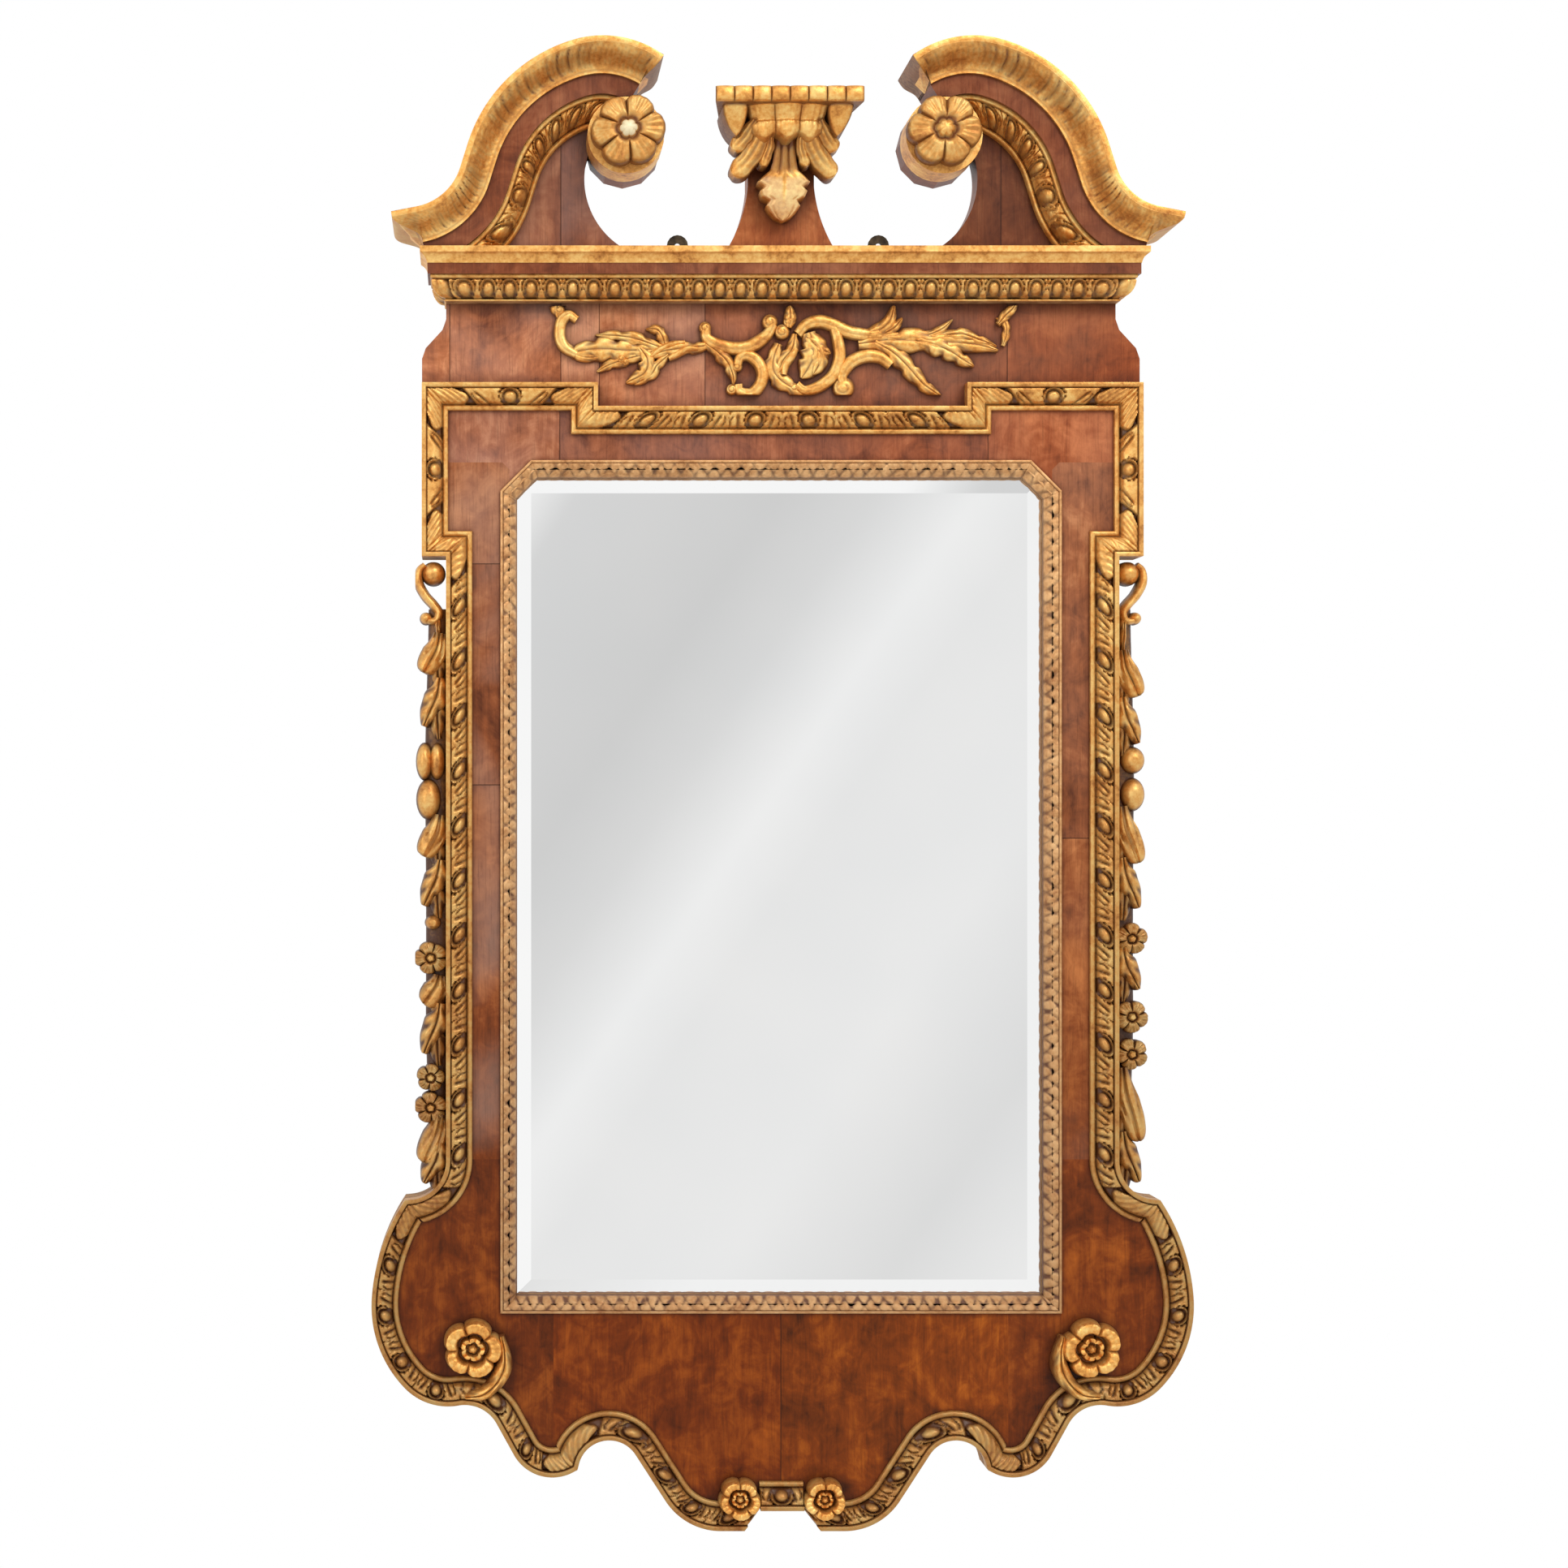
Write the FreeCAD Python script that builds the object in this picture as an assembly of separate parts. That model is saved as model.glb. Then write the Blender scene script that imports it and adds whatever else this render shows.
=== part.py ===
import FreeCAD, Part
import math
import os

# A tall wall mirror in a walnut and gilt frame with a broken swan-neck pediment.
# X runs to the right seen from the front, Z up, and the front faces -Y.
# The wall is the plane y = 0, and the origin lies midway between the two wall screws.
# Depths named front, proud or reach are measured forward from the face of the veneer.

os.makedirs("parts", exist_ok=True)

# Boards, veneer, glass and back
board_thickness = 25.8
veneer_thickness = 1.2
frame_depth = board_thickness + veneer_thickness
glass_thickness = 5.0
glass_bevel_width = 19.0
glass_bevel_drop = 2.2
glass_clearance = 1.5
backing_thickness = 7.0
backing_lap = 10.0
backing_clearance = 0.8
spare_length = 60.0
mitre_reach = 32.0
mitre_cut = 48.0
mitre_bed = 1.0
apron_joint_inset = 100.4
veneer_joint_rise = 13.5
seat_gap = 0.3
seat_sides = 16

# Sight opening, measured at the inner edge of the gilt slip round the glass
sight_half_width = 247.3
sight_top_drop = 64.2
sight_foot_drop = 128.7
sight_cant = 16.0
slip_width = 15.3
slip_lap = 6.7
slip_proud = 3.0
slip_bead_width = 4.0
slip_depth = 14.0
slip_nose = 2.0

# Outer outline of the frame, right half, from the crest down to the middle of the apron
crest_drop = 157.3
step_rise = 22.1
shoulder_head_length = 164.0
shoulder_overhang = 22.6
shoulder_drop = 161.8
stile_width = 66.1
side_length = 563.6
apron_centre_half_width = 20.4
# The sizes of the ear and the apron are as drawn, and are scaled to fill the rest of the half width
ear_neck_radius = 36.0
ear_neck_turn = 85.0
ear_neck_length = 5.5
ear_corner_turn = 51.5
ear_upper_radius = 188.0
ear_upper_turn = 29.5
ear_belly_radius = 110.0
ear_belly_turn = 48.0
ear_heel_radius = 56.0
ear_heel_turn = 56.0
ear_hollow_radius = 34.0
ear_hollow_turn = 71.0
lobe_length = 33.0
lobe_radius = 41.0
lobe_turn = 88.5
lobe_end_length = 5.0
cusp_turn = 48.0
arch_start_length = 6.0
arch_radius = 29.0
arch_turn = 132.5
arch_length = 51.5
base_radius = 61.5
base_length = 22.0
notch_turn = 51.0
notch_length = 24.0

# Carved outer moulding
moulding_width = 24.5
moulding_proud = 15.0
moulding_lip_width = 4.0
moulding_toe_proud = 4.5

# Frieze
frieze_neck_drop = 74.0
frieze_flare_top_drop = 84.0
frieze_flare_foot_drop = 101.0
frieze_foot_drop = 111.0
frieze_ease = 3.5

# Cornice
cornice_drop = 12.5
cornice_build_out = 12.0
fillet_height = 14.5
fascia_height = 10.0
ovolo_height = 22.5
fillet_proud = 24.0
fillet_back_step = 6.5
fillet_lip = 5.5
fascia_proud = 17.0
ovolo_proud = 14.5
ovolo_toe = 1.5
ovolo_lip = 3.5

# Swan neck: the line along the foot of the crown moulding, from its low outer end inwards
neck_overhang = 21.1
neck_start_lift = 3.3
neck_start_turn = 11.0
neck_hollow_radius = 80.0
neck_hollow_turn = 61.5
neck_length = 23.0
neck_shoulder_radius = 116.5
neck_shoulder_turn = 56.0
neck_scroll_radius = 67.0
neck_scroll_turn = 48.0
neck_end_return_share = 0.3
crown_height = 28.0
crown_foot_front = 36.0
crown_projection = 24.0
crown_lip = 5.0
neck_fascia_height = 18.0
neck_fascia_front = 33.0
neck_moulding_height = 22.5
neck_moulding_front = 28.0
neck_moulding_toe_front = 6.0
neck_moulding_lip = 3.5
pediment_top_step = 2.0
pediment_throat_radius = 75.0
pediment_throat_inset = 225.5
pediment_throat_rise = 66.2
pediment_tail_inset = 198.0

# Scroll bosses and rosettes
boss_inset = 187.5
boss_rise = 99.2
boss_radius = 35.5
boss_front = 34.0
boss_sides = 32
boss_disc_sides = 12
rosette_inset = 1.5
rosette_rise = 2.0
rosette_radius = 33.0
rosette_proud = 20.0
rosette_petals = 6
rosette_button_radius = 9.5
rosette_button_proud = 5.0

# Central console
plinth_top = 111.0
plinth_half_width = 31.0
plinth_foot_half_width = 53.0
plinth_bend_half_width = 39.0
plinth_bend_height = 15.0
plinth_flare_top = 50.0
platform_thickness = 14.0
platform_half_width = 67.5
platform_back_half_width = 63.0
platform_front = 78.0
platform_beads = 8
platform_bead_proud = 5.5
bead_share = 0.28
# Side outline of the bracket as shares of the shelf's reach and of the plinth's top,
# and the right half of its front outline as shares of the shelf's half width and the plinth's top
bracket_side_shares = [(0.872, 1), (0.423, 0.757), (0.32, 0.505), (0.27, 0.306), (0.115, 0.135)]
bracket_front_shares = [(0.86, 1), (0.92, 0.883), (0.845, 0.757), (0.62, 0.667), (0.74, 0.514),
                        (0.355, 0.45), (0.25, 0.261), (0, 0.135)]

# Flowers
volute_inset = 24.9
volute_drop = 175.4
volute_radius = 28.5
volute_proud = 22.0
volute_petals = 5
volute_tail_width = 17.0
volute_tail_length = 52.0
base_flower_radius = 20.0
base_flower_button_radius = 6.0
base_flower_rise = 10.2
base_flower_offset = 19.1
base_flower_proud = 22.0
base_flower_petals = 5

# Side drops
drop_top_gap = 4.0
drop_tail = 32.4
drop_width = 30.5
drop_valley = 12.0
# One lobe: share of its length, share of its reach
lobe_shares = [(0.04, 0), (0.3, 1.0), (0.75, 0.85)]
drop_front = 9.0
drop_back = -13.0
drop_front_share = 0.8
drop_bend_steps = 3
# Lobes of a drop from the top: share of its length, share of its width
drop_lobes = [(0.1, 0.95), (0.08, 0.55), (0.12, 0.85), (0.1, 0.95), (0.12, 0.8),
              (0.1, 0.95), (0.1, 0.75), (0.1, 0.85), (0.09, 0.9), (0.09, 0.7)]

# Frieze carving: tips of each leaf or scroll as shares of its half length along and of the frieze's
# bare height down, then its width as a share of the half length
carving_length_share = 0.705
carving_proud = 9.0
carving_leaves = [
    ((-0.93, 0.03, -0.9, 0.4), 0.06), ((-0.86, 0.47, -0.5, 0.32), 0.12), ((-0.8, 0.21, -0.5, 0.45), 0.1),
    ((-0.62, 0.21, -0.6, 0.75), 0.1), ((-0.6, 0.39, -0.3, 0.45), 0.07), ((-0.36, 0.47, -0.3, 0.2), 0.07),
    ((-0.31, 0.23, -0.02, 0.2), 0.09), ((-0.34, 0.39, -0.2, 0.84), 0.08), ((-0.2, 0.43, -0.05, 0.77), 0.08),
    ((-0.04, 0.21, 0.22, 0.75), 0.14), ((0.04, 0.05, 0.1, 0.34), 0.1), ((0.08, 0.21, 0.5, 0.34), 0.08),
    ((0.22, 0.21, 0.12, 0.82), 0.1), ((0.26, 0.84, 0.5, 0.43), 0.06), ((0.42, 0.34, 0.5, 0.04), 0.06),
    ((0.42, 0.34, 0.76, 0.16), 0.08), ((0.42, 0.39, 0.95, 0.48), 0.13), ((0.46, 0.43, 0.7, 0.88), 0.1),
]

# Hanging plates and nails
hanger_spacing = 190.0
hanger_eye_radius = 10.0
hanger_eye_sides = 16
hanger_width = 26.0
hanger_length = 58.0
hanger_shoulder = 14.0
hanger_thickness = 3.0
hanger_hole_radius = 2.5
hanger_nail_spacing = 22.0
nail_head_width = 6.0
nail_head_height = 1.2
nail_shank_width = 2.4
nail_length = 18.0
backing_nails_high = 3

# Where a curved profile member passes between its ends: how far along, and how far out
round_bow_shares = (0.66, 0.34)
slip_bow_shares = (0.74, 0.26)
hollow_bow_shares = (0.36, 0.64)
crown_hollow_shares = (0.66, 0.52)
# One petal: share of its turn, share of the radius
petal_shares = [(0, 0.76), (0.28, 1.0), (0.72, 1.0)]
flower_step_share = 0.5
# One leaf: share of its length, share of half its width
leaf_shares = [(0, 0), (0.3, 1.0), (1, 0), (0.45, -1.0)]
button_turn = 36
flower_front_share = 0.74

# Widths and heights that follow from the sizes above
side_half_width = sight_half_width + stile_width
shoulder_half_width = side_half_width + shoulder_overhang
step_offset = shoulder_half_width - shoulder_head_length
crest_height = -crest_drop
shoulder_height = crest_height + step_rise
side_top = shoulder_height - shoulder_drop
side_foot = side_top - side_length
sight_top = crest_height - sight_top_drop
sight_bottom = side_foot - sight_foot_drop
veneer_joint_height = sight_top + veneer_joint_rise
cornice_top = -cornice_drop
cornice_bottom = cornice_top - fillet_height - fascia_height - ovolo_height
cornice_ground = frame_depth + cornice_build_out
neck_start_half_width = side_half_width + neck_overhang
neck_start_height = cornice_top + neck_start_lift
boss_half_spacing = neck_start_half_width - boss_inset
boss_height = neck_start_height + boss_rise
carving_half_length = side_half_width * carving_length_share
middle_share = 0.5
quarter_turn = 90
full_turn = 360

X_AXIS = FreeCAD.Vector(1, 0, 0)
Y_AXIS = FreeCAD.Vector(0, 1, 0)
Z_AXIS = FreeCAD.Vector(0, 0, 1)
ORIGIN = FreeCAD.Vector(0, 0, 0)


def at(x, z, front=0.0):
    """A point, with its depth measured forward from the veneer."""
    return FreeCAD.Vector(x, -frame_depth - front, z)


def heading_vector(angle):
    return FreeCAD.Vector(math.cos(math.radians(angle)), 0, math.sin(math.radians(angle)))


def right_of(angle):
    return heading_vector(angle - quarter_turn)


def other_side(shape):
    """The left-hand twin of a right-hand piece."""
    return shape.mirror(ORIGIN, X_AXIS)


def both_sides(shape):
    """One piece that crosses the middle, from its right half."""
    return shape.fuse(other_side(shape)).removeSplitter()


def save(name, shape):
    solids = shape if isinstance(shape, list) else shape.Solids
    whole = solids[0] if len(solids) == 1 else Part.makeCompound(solids)
    whole.exportStep("parts/" + name + ".step")


def save_pair(name, shape):
    """A right-hand piece and its left-hand twin, each under its own name."""
    solids = shape if isinstance(shape, list) else shape.Solids
    save("right_" + name, solids)
    save("left_" + name, [other_side(solid) for solid in solids])


def save_twins(name, shape):
    """Both twins under one name, as separate solids."""
    solids = shape if isinstance(shape, list) else shape.Solids
    save(name, solids + [other_side(solid) for solid in solids])


def trace(start, heading, legs):
    """Edges of a planar line of straight runs ("run", length) and tangent arcs ("arc", radius, turn)."""
    here, edges = start, []
    for leg in legs:
        if leg[0] == "run":
            there = here + heading_vector(heading) * leg[1]
            edges.append(Part.LineSegment(here, there).toShape())
        else:
            radius, turn = leg[1], leg[2]
            side = 1 if turn > 0 else -1
            middle = here - right_of(heading) * (radius * side)
            half = middle + right_of(heading + turn / 2) * (radius * side)
            there = middle + right_of(heading + turn) * (radius * side)
            edges.append(Part.Arc(here, half, there).toShape())
            heading += turn
        here = there
    return edges, here, heading


def corner_face(corners, front=0.0):
    points = [at(x, z, front) for x, z in corners]
    return Part.Face(Part.makePolygon(points + [points[0]]))


def slab(outline, back, front):
    """Solid between two depths, from a face drawn on the veneer plane."""
    block = outline.extrude(FreeCAD.Vector(0, back - front, 0))
    block.translate(FreeCAD.Vector(0, -back, 0))
    return block


def block_between(x0, x1, z0, z1, back, front):
    return Part.makeBox(x1 - x0, front - back, z1 - z0, at(x0, z0, front))


def ring_face(x, z, radius, sides):
    """A face with equal sides round a middle point."""
    corners = [heading_vector(full_turn * side / sides) * radius for side in range(sides)]
    return corner_face([(x + corner.x, z + corner.z) for corner in corners])


def ring_space(x, z, radius):
    """Room for a round piece: a prism whose flats clear it by the seat gap, open to the front."""
    corner_radius = (radius + seat_gap) / math.cos(math.radians(full_turn / seat_sides / 2))
    return slab(ring_face(x, z, corner_radius, seat_sides), 0, spare_length)


def beyond(point, direction, reach):
    """A block on the far side of a plane through a point."""
    block = Part.makeBox(2 * reach, 2 * reach, 2 * reach, FreeCAD.Vector(-reach, -reach, 0))
    block.Placement = FreeCAD.Placement(point, FreeCAD.Rotation(Z_AXIS, direction))
    return block


def bow(first, last, shares):
    """A point of a profile between two others, by shares of the way along and out."""
    return (first[0] + (last[0] - first[0]) * shares[0], first[1] + (last[1] - first[1]) * shares[1])


def section(profile, place):
    """Closed wire of a moulding profile; a pair of points is an arc through the first to the second."""
    here, edges = place(profile[0]), []
    for leg in list(profile[1:]) + [profile[0]]:
        if isinstance(leg[0], tuple):
            there = place(leg[1])
            edges.append(Part.Arc(here, place(leg[0]), there).toShape())
        else:
            there = place(leg)
            edges.append(Part.LineSegment(here, there).toShape())
        here = there
    return Part.Wire(edges)


def carried(profile, start, heading, legs, entry=None, leave=None):
    """A moulding carried along a line. Entry and leave are the turns of the mitred corners at its ends."""
    legs, first_heading = list(legs), heading
    if entry is not None:
        legs.insert(0, ("run", mitre_reach))
    if leave is not None:
        legs.append(("run", mitre_reach))
    here = start - heading_vector(heading) * (mitre_reach if entry is not None else 0)
    lengths = []
    for leg in legs:
        across = right_of(heading)
        face = Part.Face(section(profile, lambda point: here + across * point[0] - Y_AXIS * point[1]))
        if leg[0] == "run":
            lengths.append(face.extrude(heading_vector(heading) * leg[1]))
        else:
            side = math.copysign(1, leg[2])
            lengths.append(face.revolve(here - across * (leg[1] * side), -Y_AXIS * side, abs(leg[2])))
        here, heading = trace(here, heading, [leg])[1:]
    run = lengths[0].fuse(lengths[1:]).removeSplitter() if len(lengths) > 1 else lengths[0]
    if entry is not None:
        run = run.cut(beyond(start, -heading_vector(first_heading - entry / 2), mitre_cut))
    if leave is not None:
        end = here - heading_vector(heading) * mitre_reach
        run = run.cut(beyond(end, heading_vector(heading + leave / 2), mitre_cut))
    return run.Solids[0]


# The outline as runs between mitred corners: name, legs, and the turn of the corner that follows
arch_end_turn = (ear_neck_turn - ear_corner_turn - ear_upper_turn - ear_belly_turn - ear_heel_turn
                 + ear_hollow_turn - lobe_turn - cusp_turn + arch_turn + quarter_turn)
drawn_runs = [
    ("side", [("arc", ear_neck_radius, ear_neck_turn), ("run", ear_neck_length)], -ear_corner_turn),
    ("ear", [("arc", ear_upper_radius, -ear_upper_turn), ("arc", ear_belly_radius, -ear_belly_turn),
             ("arc", ear_heel_radius, -ear_heel_turn), ("arc", ear_hollow_radius, ear_hollow_turn),
             ("run", lobe_length), ("arc", lobe_radius, -lobe_turn), ("run", lobe_end_length)], -cusp_turn),
    ("arch", [("run", arch_start_length), ("arc", arch_radius, arch_turn), ("run", arch_length),
              ("arc", base_radius, -arch_end_turn), ("run", base_length)], -notch_turn),
    ("notch", [("run", notch_length)], notch_turn),
]


def drawn_ear_width():
    """How far in from the side of the frame the ear and the apron reach as drawn."""
    here, heading = ORIGIN, -quarter_turn
    for name, legs, turn in drawn_runs:
        here, heading = trace(here, heading, legs)[1:]
        heading += turn
    return -here.x


ear_scale = (side_half_width - apron_centre_half_width) / drawn_ear_width()
apron_joint = side_half_width - apron_joint_inset * ear_scale
outline_runs = [
    ("crest", [("run", step_offset)], quarter_turn),
    ("step", [("run", step_rise)], -quarter_turn),
    ("shoulder_head", [("run", shoulder_head_length)], -quarter_turn),
    ("shoulder_side", [("run", shoulder_drop)], -quarter_turn),
    ("shoulder_foot", [("run", shoulder_overhang)], quarter_turn),
]
for name, legs, turn in drawn_runs:
    above_ear = [("run", side_length)] if name == "side" else []
    scaled = [(leg[0], leg[1] * ear_scale) + leg[2:] for leg in legs]
    outline_runs.append((name, above_ear + scaled, turn))


def follow_outline():
    """Where each run of the outline starts, its heading, its legs and the corners at its ends."""
    found, here, heading, before = {}, at(0, crest_height), 0.0, None
    for name, legs, turn in outline_runs:
        found[name] = (here, heading, legs, before, turn)
        here, heading = trace(here, heading, legs)[1:]
        heading += turn
        before = turn
    return found, here


runs, apron_corner = follow_outline()


def silhouette():
    """Right half of the frame below the frieze, as a face on the veneer plane."""
    edges = []
    for run in runs.values():
        start, heading, legs = run[:3]
        edges += trace(start, heading, legs)[0]
    middle = at(0, apron_corner.z)
    edges.append(Part.LineSegment(apron_corner, middle).toShape())
    edges.append(Part.LineSegment(middle, at(0, crest_height)).toShape())
    return Part.Face(Part.Wire(edges))


# Lines shared by the boards, the veneers and the glass
cant_turn = quarter_turn / 2
cant_growth = math.tan(math.radians(cant_turn / 2)) / math.cos(math.radians(cant_turn))
board_inset = slip_width - slip_lap
slip_half_width = sight_half_width + slip_width
slip_top = sight_top + slip_width
slip_bottom = sight_bottom - slip_width
slip_cant = sight_cant + slip_width * cant_growth
opening_half_width = sight_half_width + slip_lap
opening_top = sight_top + slip_lap
opening_bottom = sight_bottom - slip_lap
opening_cant = sight_cant + slip_lap * cant_growth
glass_cover = slip_lap - glass_clearance
bevel_share_at_cant = (glass_cover + sight_cant / 2) / glass_bevel_width
glass_depth = slip_depth + seat_gap - glass_bevel_drop * (1 - bevel_share_at_cant)
rebate_depth = frame_depth - glass_depth - glass_thickness
lowest = apron_corner.z - spare_length
right_end = shoulder_half_width + 2 * spare_length
outline = silhouette()
base_flower_half_spacing = apron_corner.x + base_flower_offset
base_flower_height = apron_corner.z + base_flower_rise


def right_region(x0, x1, z0, z1, back, front):
    """The part of the frame's right half inside a rectangle, between two depths."""
    return slab(outline, back, front).common(block_between(x0, x1, z0, z1, back, front))


def board_region(x0, x1, z0, z1):
    return right_region(x0, x1, z0, z1, -frame_depth, -veneer_thickness)


def veneer_region(x0, x1, z0, z1):
    return right_region(x0, x1, z0, z1, -veneer_thickness, 0)


def canted_corner(back, front):
    """The triangle that fills the top corner of the opening behind the canted slip."""
    corners = [(opening_half_width, opening_top), (opening_half_width, opening_top - opening_cant),
               (opening_half_width - opening_cant, opening_top)]
    return slab(corner_face(corners), back, front)


def backing_space():
    """Rebate for the backing board, in the back of the rails and stiles."""
    half = opening_half_width + backing_lap
    bottom = opening_bottom - backing_lap
    return Part.makeBox(2 * half, rebate_depth, opening_top + backing_lap - bottom,
                        FreeCAD.Vector(-half, -rebate_depth, bottom))


def backing_nail_places():
    """Middles of the nails down both edges of the backing board."""
    x_edge = opening_half_width + backing_lap / 2
    low = opening_bottom - backing_lap / 2
    high = opening_top + backing_lap / 2
    found = []
    for row in range(backing_nails_high):
        z = low + (high - low) * (row + middle_share) / backing_nails_high
        found += [(x_edge, z), (-x_edge, z)]
    return found


def hanger_nail_places():
    found = []
    for side in (-1, 1):
        for step in (0, 1):
            found.append((side * hanger_spacing / 2, hanger_nail_top - step * hanger_nail_spacing))
    return found


def square_bar(x, y, z, width, length):
    half = width / 2
    return Part.makeBox(width, length, width, FreeCAD.Vector(x - half, y - length, z - half))


def nail_holes():
    """Holes for every nail at the back."""
    width, length = nail_shank_width + 2 * seat_gap, nail_length + seat_gap
    backing = [square_bar(x, -backing_setback, z, width, length) for x, z in backing_nail_places()]
    hangers = [square_bar(x, -nail_head_height, z, width, length) for x, z in hanger_nail_places()]
    sinks = [square_bar(x, 0, z, nail_head_width + 2 * seat_gap, nail_head_height)
             for x, z in hanger_nail_places()]
    return Part.makeCompound(backing + hangers + sinks)


def back_nails():
    """Square cut nails, those of the plates sunk flush with the wall plane."""
    placed = [(x, -backing_setback, z) for x, z in backing_nail_places()]
    placed += [(x, -nail_head_height, z) for x, z in hanger_nail_places()]
    nails = []
    for x, y, z in placed:
        head = square_bar(x, y + nail_head_height, z, nail_head_width, nail_head_height)
        nails.append(head.fuse(square_bar(x, y, z, nail_shank_width, nail_length)).removeSplitter())
    return nails


backing_setback = rebate_depth - backing_thickness
hanger_nail_top = -hanger_length + hanger_width / 2 + hanger_nail_spacing
holes = nail_holes()
space = backing_space()


def right_stile():
    board = board_region(opening_half_width, right_end, side_foot, shoulder_height)
    return board.cut(space).cut(holes)


def top_rail():
    half = board_region(0, opening_half_width, opening_top, shoulder_height)
    corner = canted_corner(-slip_depth + slip_nose, -veneer_thickness)
    return both_sides(half.fuse(corner)).cut(space).cut(holes)


def apron_board():
    half = board_region(0, apron_joint, lowest, opening_bottom)
    return both_sides(half).cut(space).cut(holes)


def right_ear_board():
    foot = board_region(apron_joint, right_end, lowest, opening_bottom)
    wing = board_region(opening_half_width, right_end, opening_bottom, side_foot)
    return foot.fuse(wing).removeSplitter().cut(space).cut(holes)


def frieze_face(top):
    """The frieze with its chamfered sides, sitting on the stepped top of the frame."""
    neck, foot, ease = side_half_width, shoulder_half_width, frieze_ease
    right = [(neck, top), (neck, -frieze_neck_drop), (neck + ease, -frieze_flare_top_drop),
             (foot - ease, -frieze_flare_foot_drop), (foot, -frieze_foot_drop), (foot, shoulder_height),
             (step_offset, shoulder_height), (step_offset, crest_height)]
    return corner_face(right + [(-x, z) for x, z in reversed(right)])


def frieze_board():
    return slab(frieze_face(cornice_top), -frame_depth, -veneer_thickness).cut(hanger_seats()).cut(holes)


def frieze_veneer():
    return slab(frieze_face(cornice_bottom), -veneer_thickness, 0)


def above_veneer_joint():
    """Everything above the joint that runs out from the corner of the opening and then level."""
    rise = veneer_joint_height - opening_top
    corners = [(0, opening_top - opening_cant), (opening_half_width, opening_top - opening_cant),
               (opening_half_width, opening_top), (opening_half_width + rise, veneer_joint_height),
               (right_end, veneer_joint_height), (right_end, 0), (0, 0)]
    return slab(corner_face(corners), -veneer_thickness, 0)


def top_rail_veneer():
    half = veneer_region(0, right_end, opening_top, shoulder_height).common(above_veneer_joint())
    return both_sides(half.fuse(canted_corner(-veneer_thickness, 0)))


def right_stile_veneer():
    skin = veneer_region(opening_half_width, right_end, side_foot, shoulder_height)
    return skin.cut(above_veneer_joint())


def right_ear_veneer():
    wing = veneer_region(opening_half_width, right_end, opening_bottom, side_foot)
    foot = veneer_region(apron_joint, right_end, lowest, opening_bottom)
    return wing.fuse(foot).removeSplitter()


def right_apron_veneer():
    return veneer_region(0, apron_joint, lowest, opening_bottom)


# The carved moulding, from its outer lip down to its toe on the panel
lip_corner = (moulding_lip_width, moulding_proud)
moulding_profile = [
    (0, 0), (0, moulding_proud), lip_corner, (moulding_width, moulding_toe_proud), (moulding_width, 0)]


def outline_moulding(name):
    start, heading, legs, before, after = runs[name]
    return carried(moulding_profile, start, heading, legs, before, after)


def crest_moulding():
    return both_sides(outline_moulding("crest"))


def right_shoulder_moulding():
    return [outline_moulding(name) for name in ("step", "shoulder_head", "shoulder_side", "shoulder_foot")]


def base_flower_space():
    return ring_space(base_flower_half_spacing, base_flower_height, base_flower_radius)


def right_apron_moulding():
    """The arch and base run, stopped against the notch beside the middle of the apron."""
    start, heading, legs, before = runs["arch"][:4]
    notch_start, notch_heading = runs["notch"][:2]
    run = carried(moulding_profile, start, heading, legs + [("run", moulding_width)], before)
    run = run.cut(beyond(notch_start, -right_of(notch_heading), spare_length))
    beyond_corner = block_between(-spare_length, apron_corner.x, lowest, crest_height, -spare_length, spare_length)
    run = run.cut(beyond_corner)
    return run.cut(base_flower_space())


def apron_centre_moulding():
    half = carried(moulding_profile, apron_corner, 2 * quarter_turn, [("run", apron_corner.x)])
    return both_sides(half.cut(base_flower_space()))


# The gilt slip round the glass, from its outer edge across to the sight edge
slip_bead = (slip_bead_width, slip_proud)
slip_edge = (slip_width, slip_nose - slip_depth)
slip_profile = [
    (0, 0), (0, slip_proud), slip_bead, (bow(slip_bead, slip_edge, slip_bow_shares), slip_edge),
    (slip_width, -slip_depth), (board_inset, -slip_depth), (board_inset, 0),
]


def slip_run(start, end, before, after):
    heading = math.degrees(math.atan2(end.z - start.z, end.x - start.x))
    return carried(slip_profile, start, heading, [("run", start.distanceToPoint(end))], before, after)


def sight_slips():
    """Lengths of the slip in clockwise order: top, right cant, right side, bottom."""
    top_left = at(slip_cant - slip_half_width, slip_top)
    top_right = at(slip_half_width - slip_cant, slip_top)
    cant_foot = at(slip_half_width, slip_top - slip_cant)
    low_right = at(slip_half_width, slip_bottom)
    low_left = at(-slip_half_width, slip_bottom)
    cant, square = -cant_turn, -quarter_turn
    return (slip_run(top_left, top_right, cant, cant), slip_run(top_right, cant_foot, cant, cant),
            slip_run(cant_foot, low_right, cant, square), slip_run(low_right, low_left, square, square))


def glass_body(half_width, top, bottom):
    """A bevelled plate lying with its back at y = 0."""
    edge = glass_thickness - glass_bevel_drop
    inner = half_width - glass_bevel_width
    plate = Part.makeBox(2 * half_width, edge, top - bottom, FreeCAD.Vector(-half_width, -edge, bottom))
    rim = Part.makePolygon([FreeCAD.Vector(x, -edge, z) for x, z in rectangle(half_width, top, bottom)])
    face = Part.makePolygon([FreeCAD.Vector(x, -glass_thickness, z) for x, z in
                             rectangle(inner, top - glass_bevel_width, bottom + glass_bevel_width)])
    return plate.fuse(Part.makeLoft([rim, face], True, True)).removeSplitter()


def rectangle(half_width, top, bottom):
    return [(-half_width, bottom), (half_width, bottom), (half_width, top), (-half_width, top),
            (-half_width, bottom)]


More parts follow.
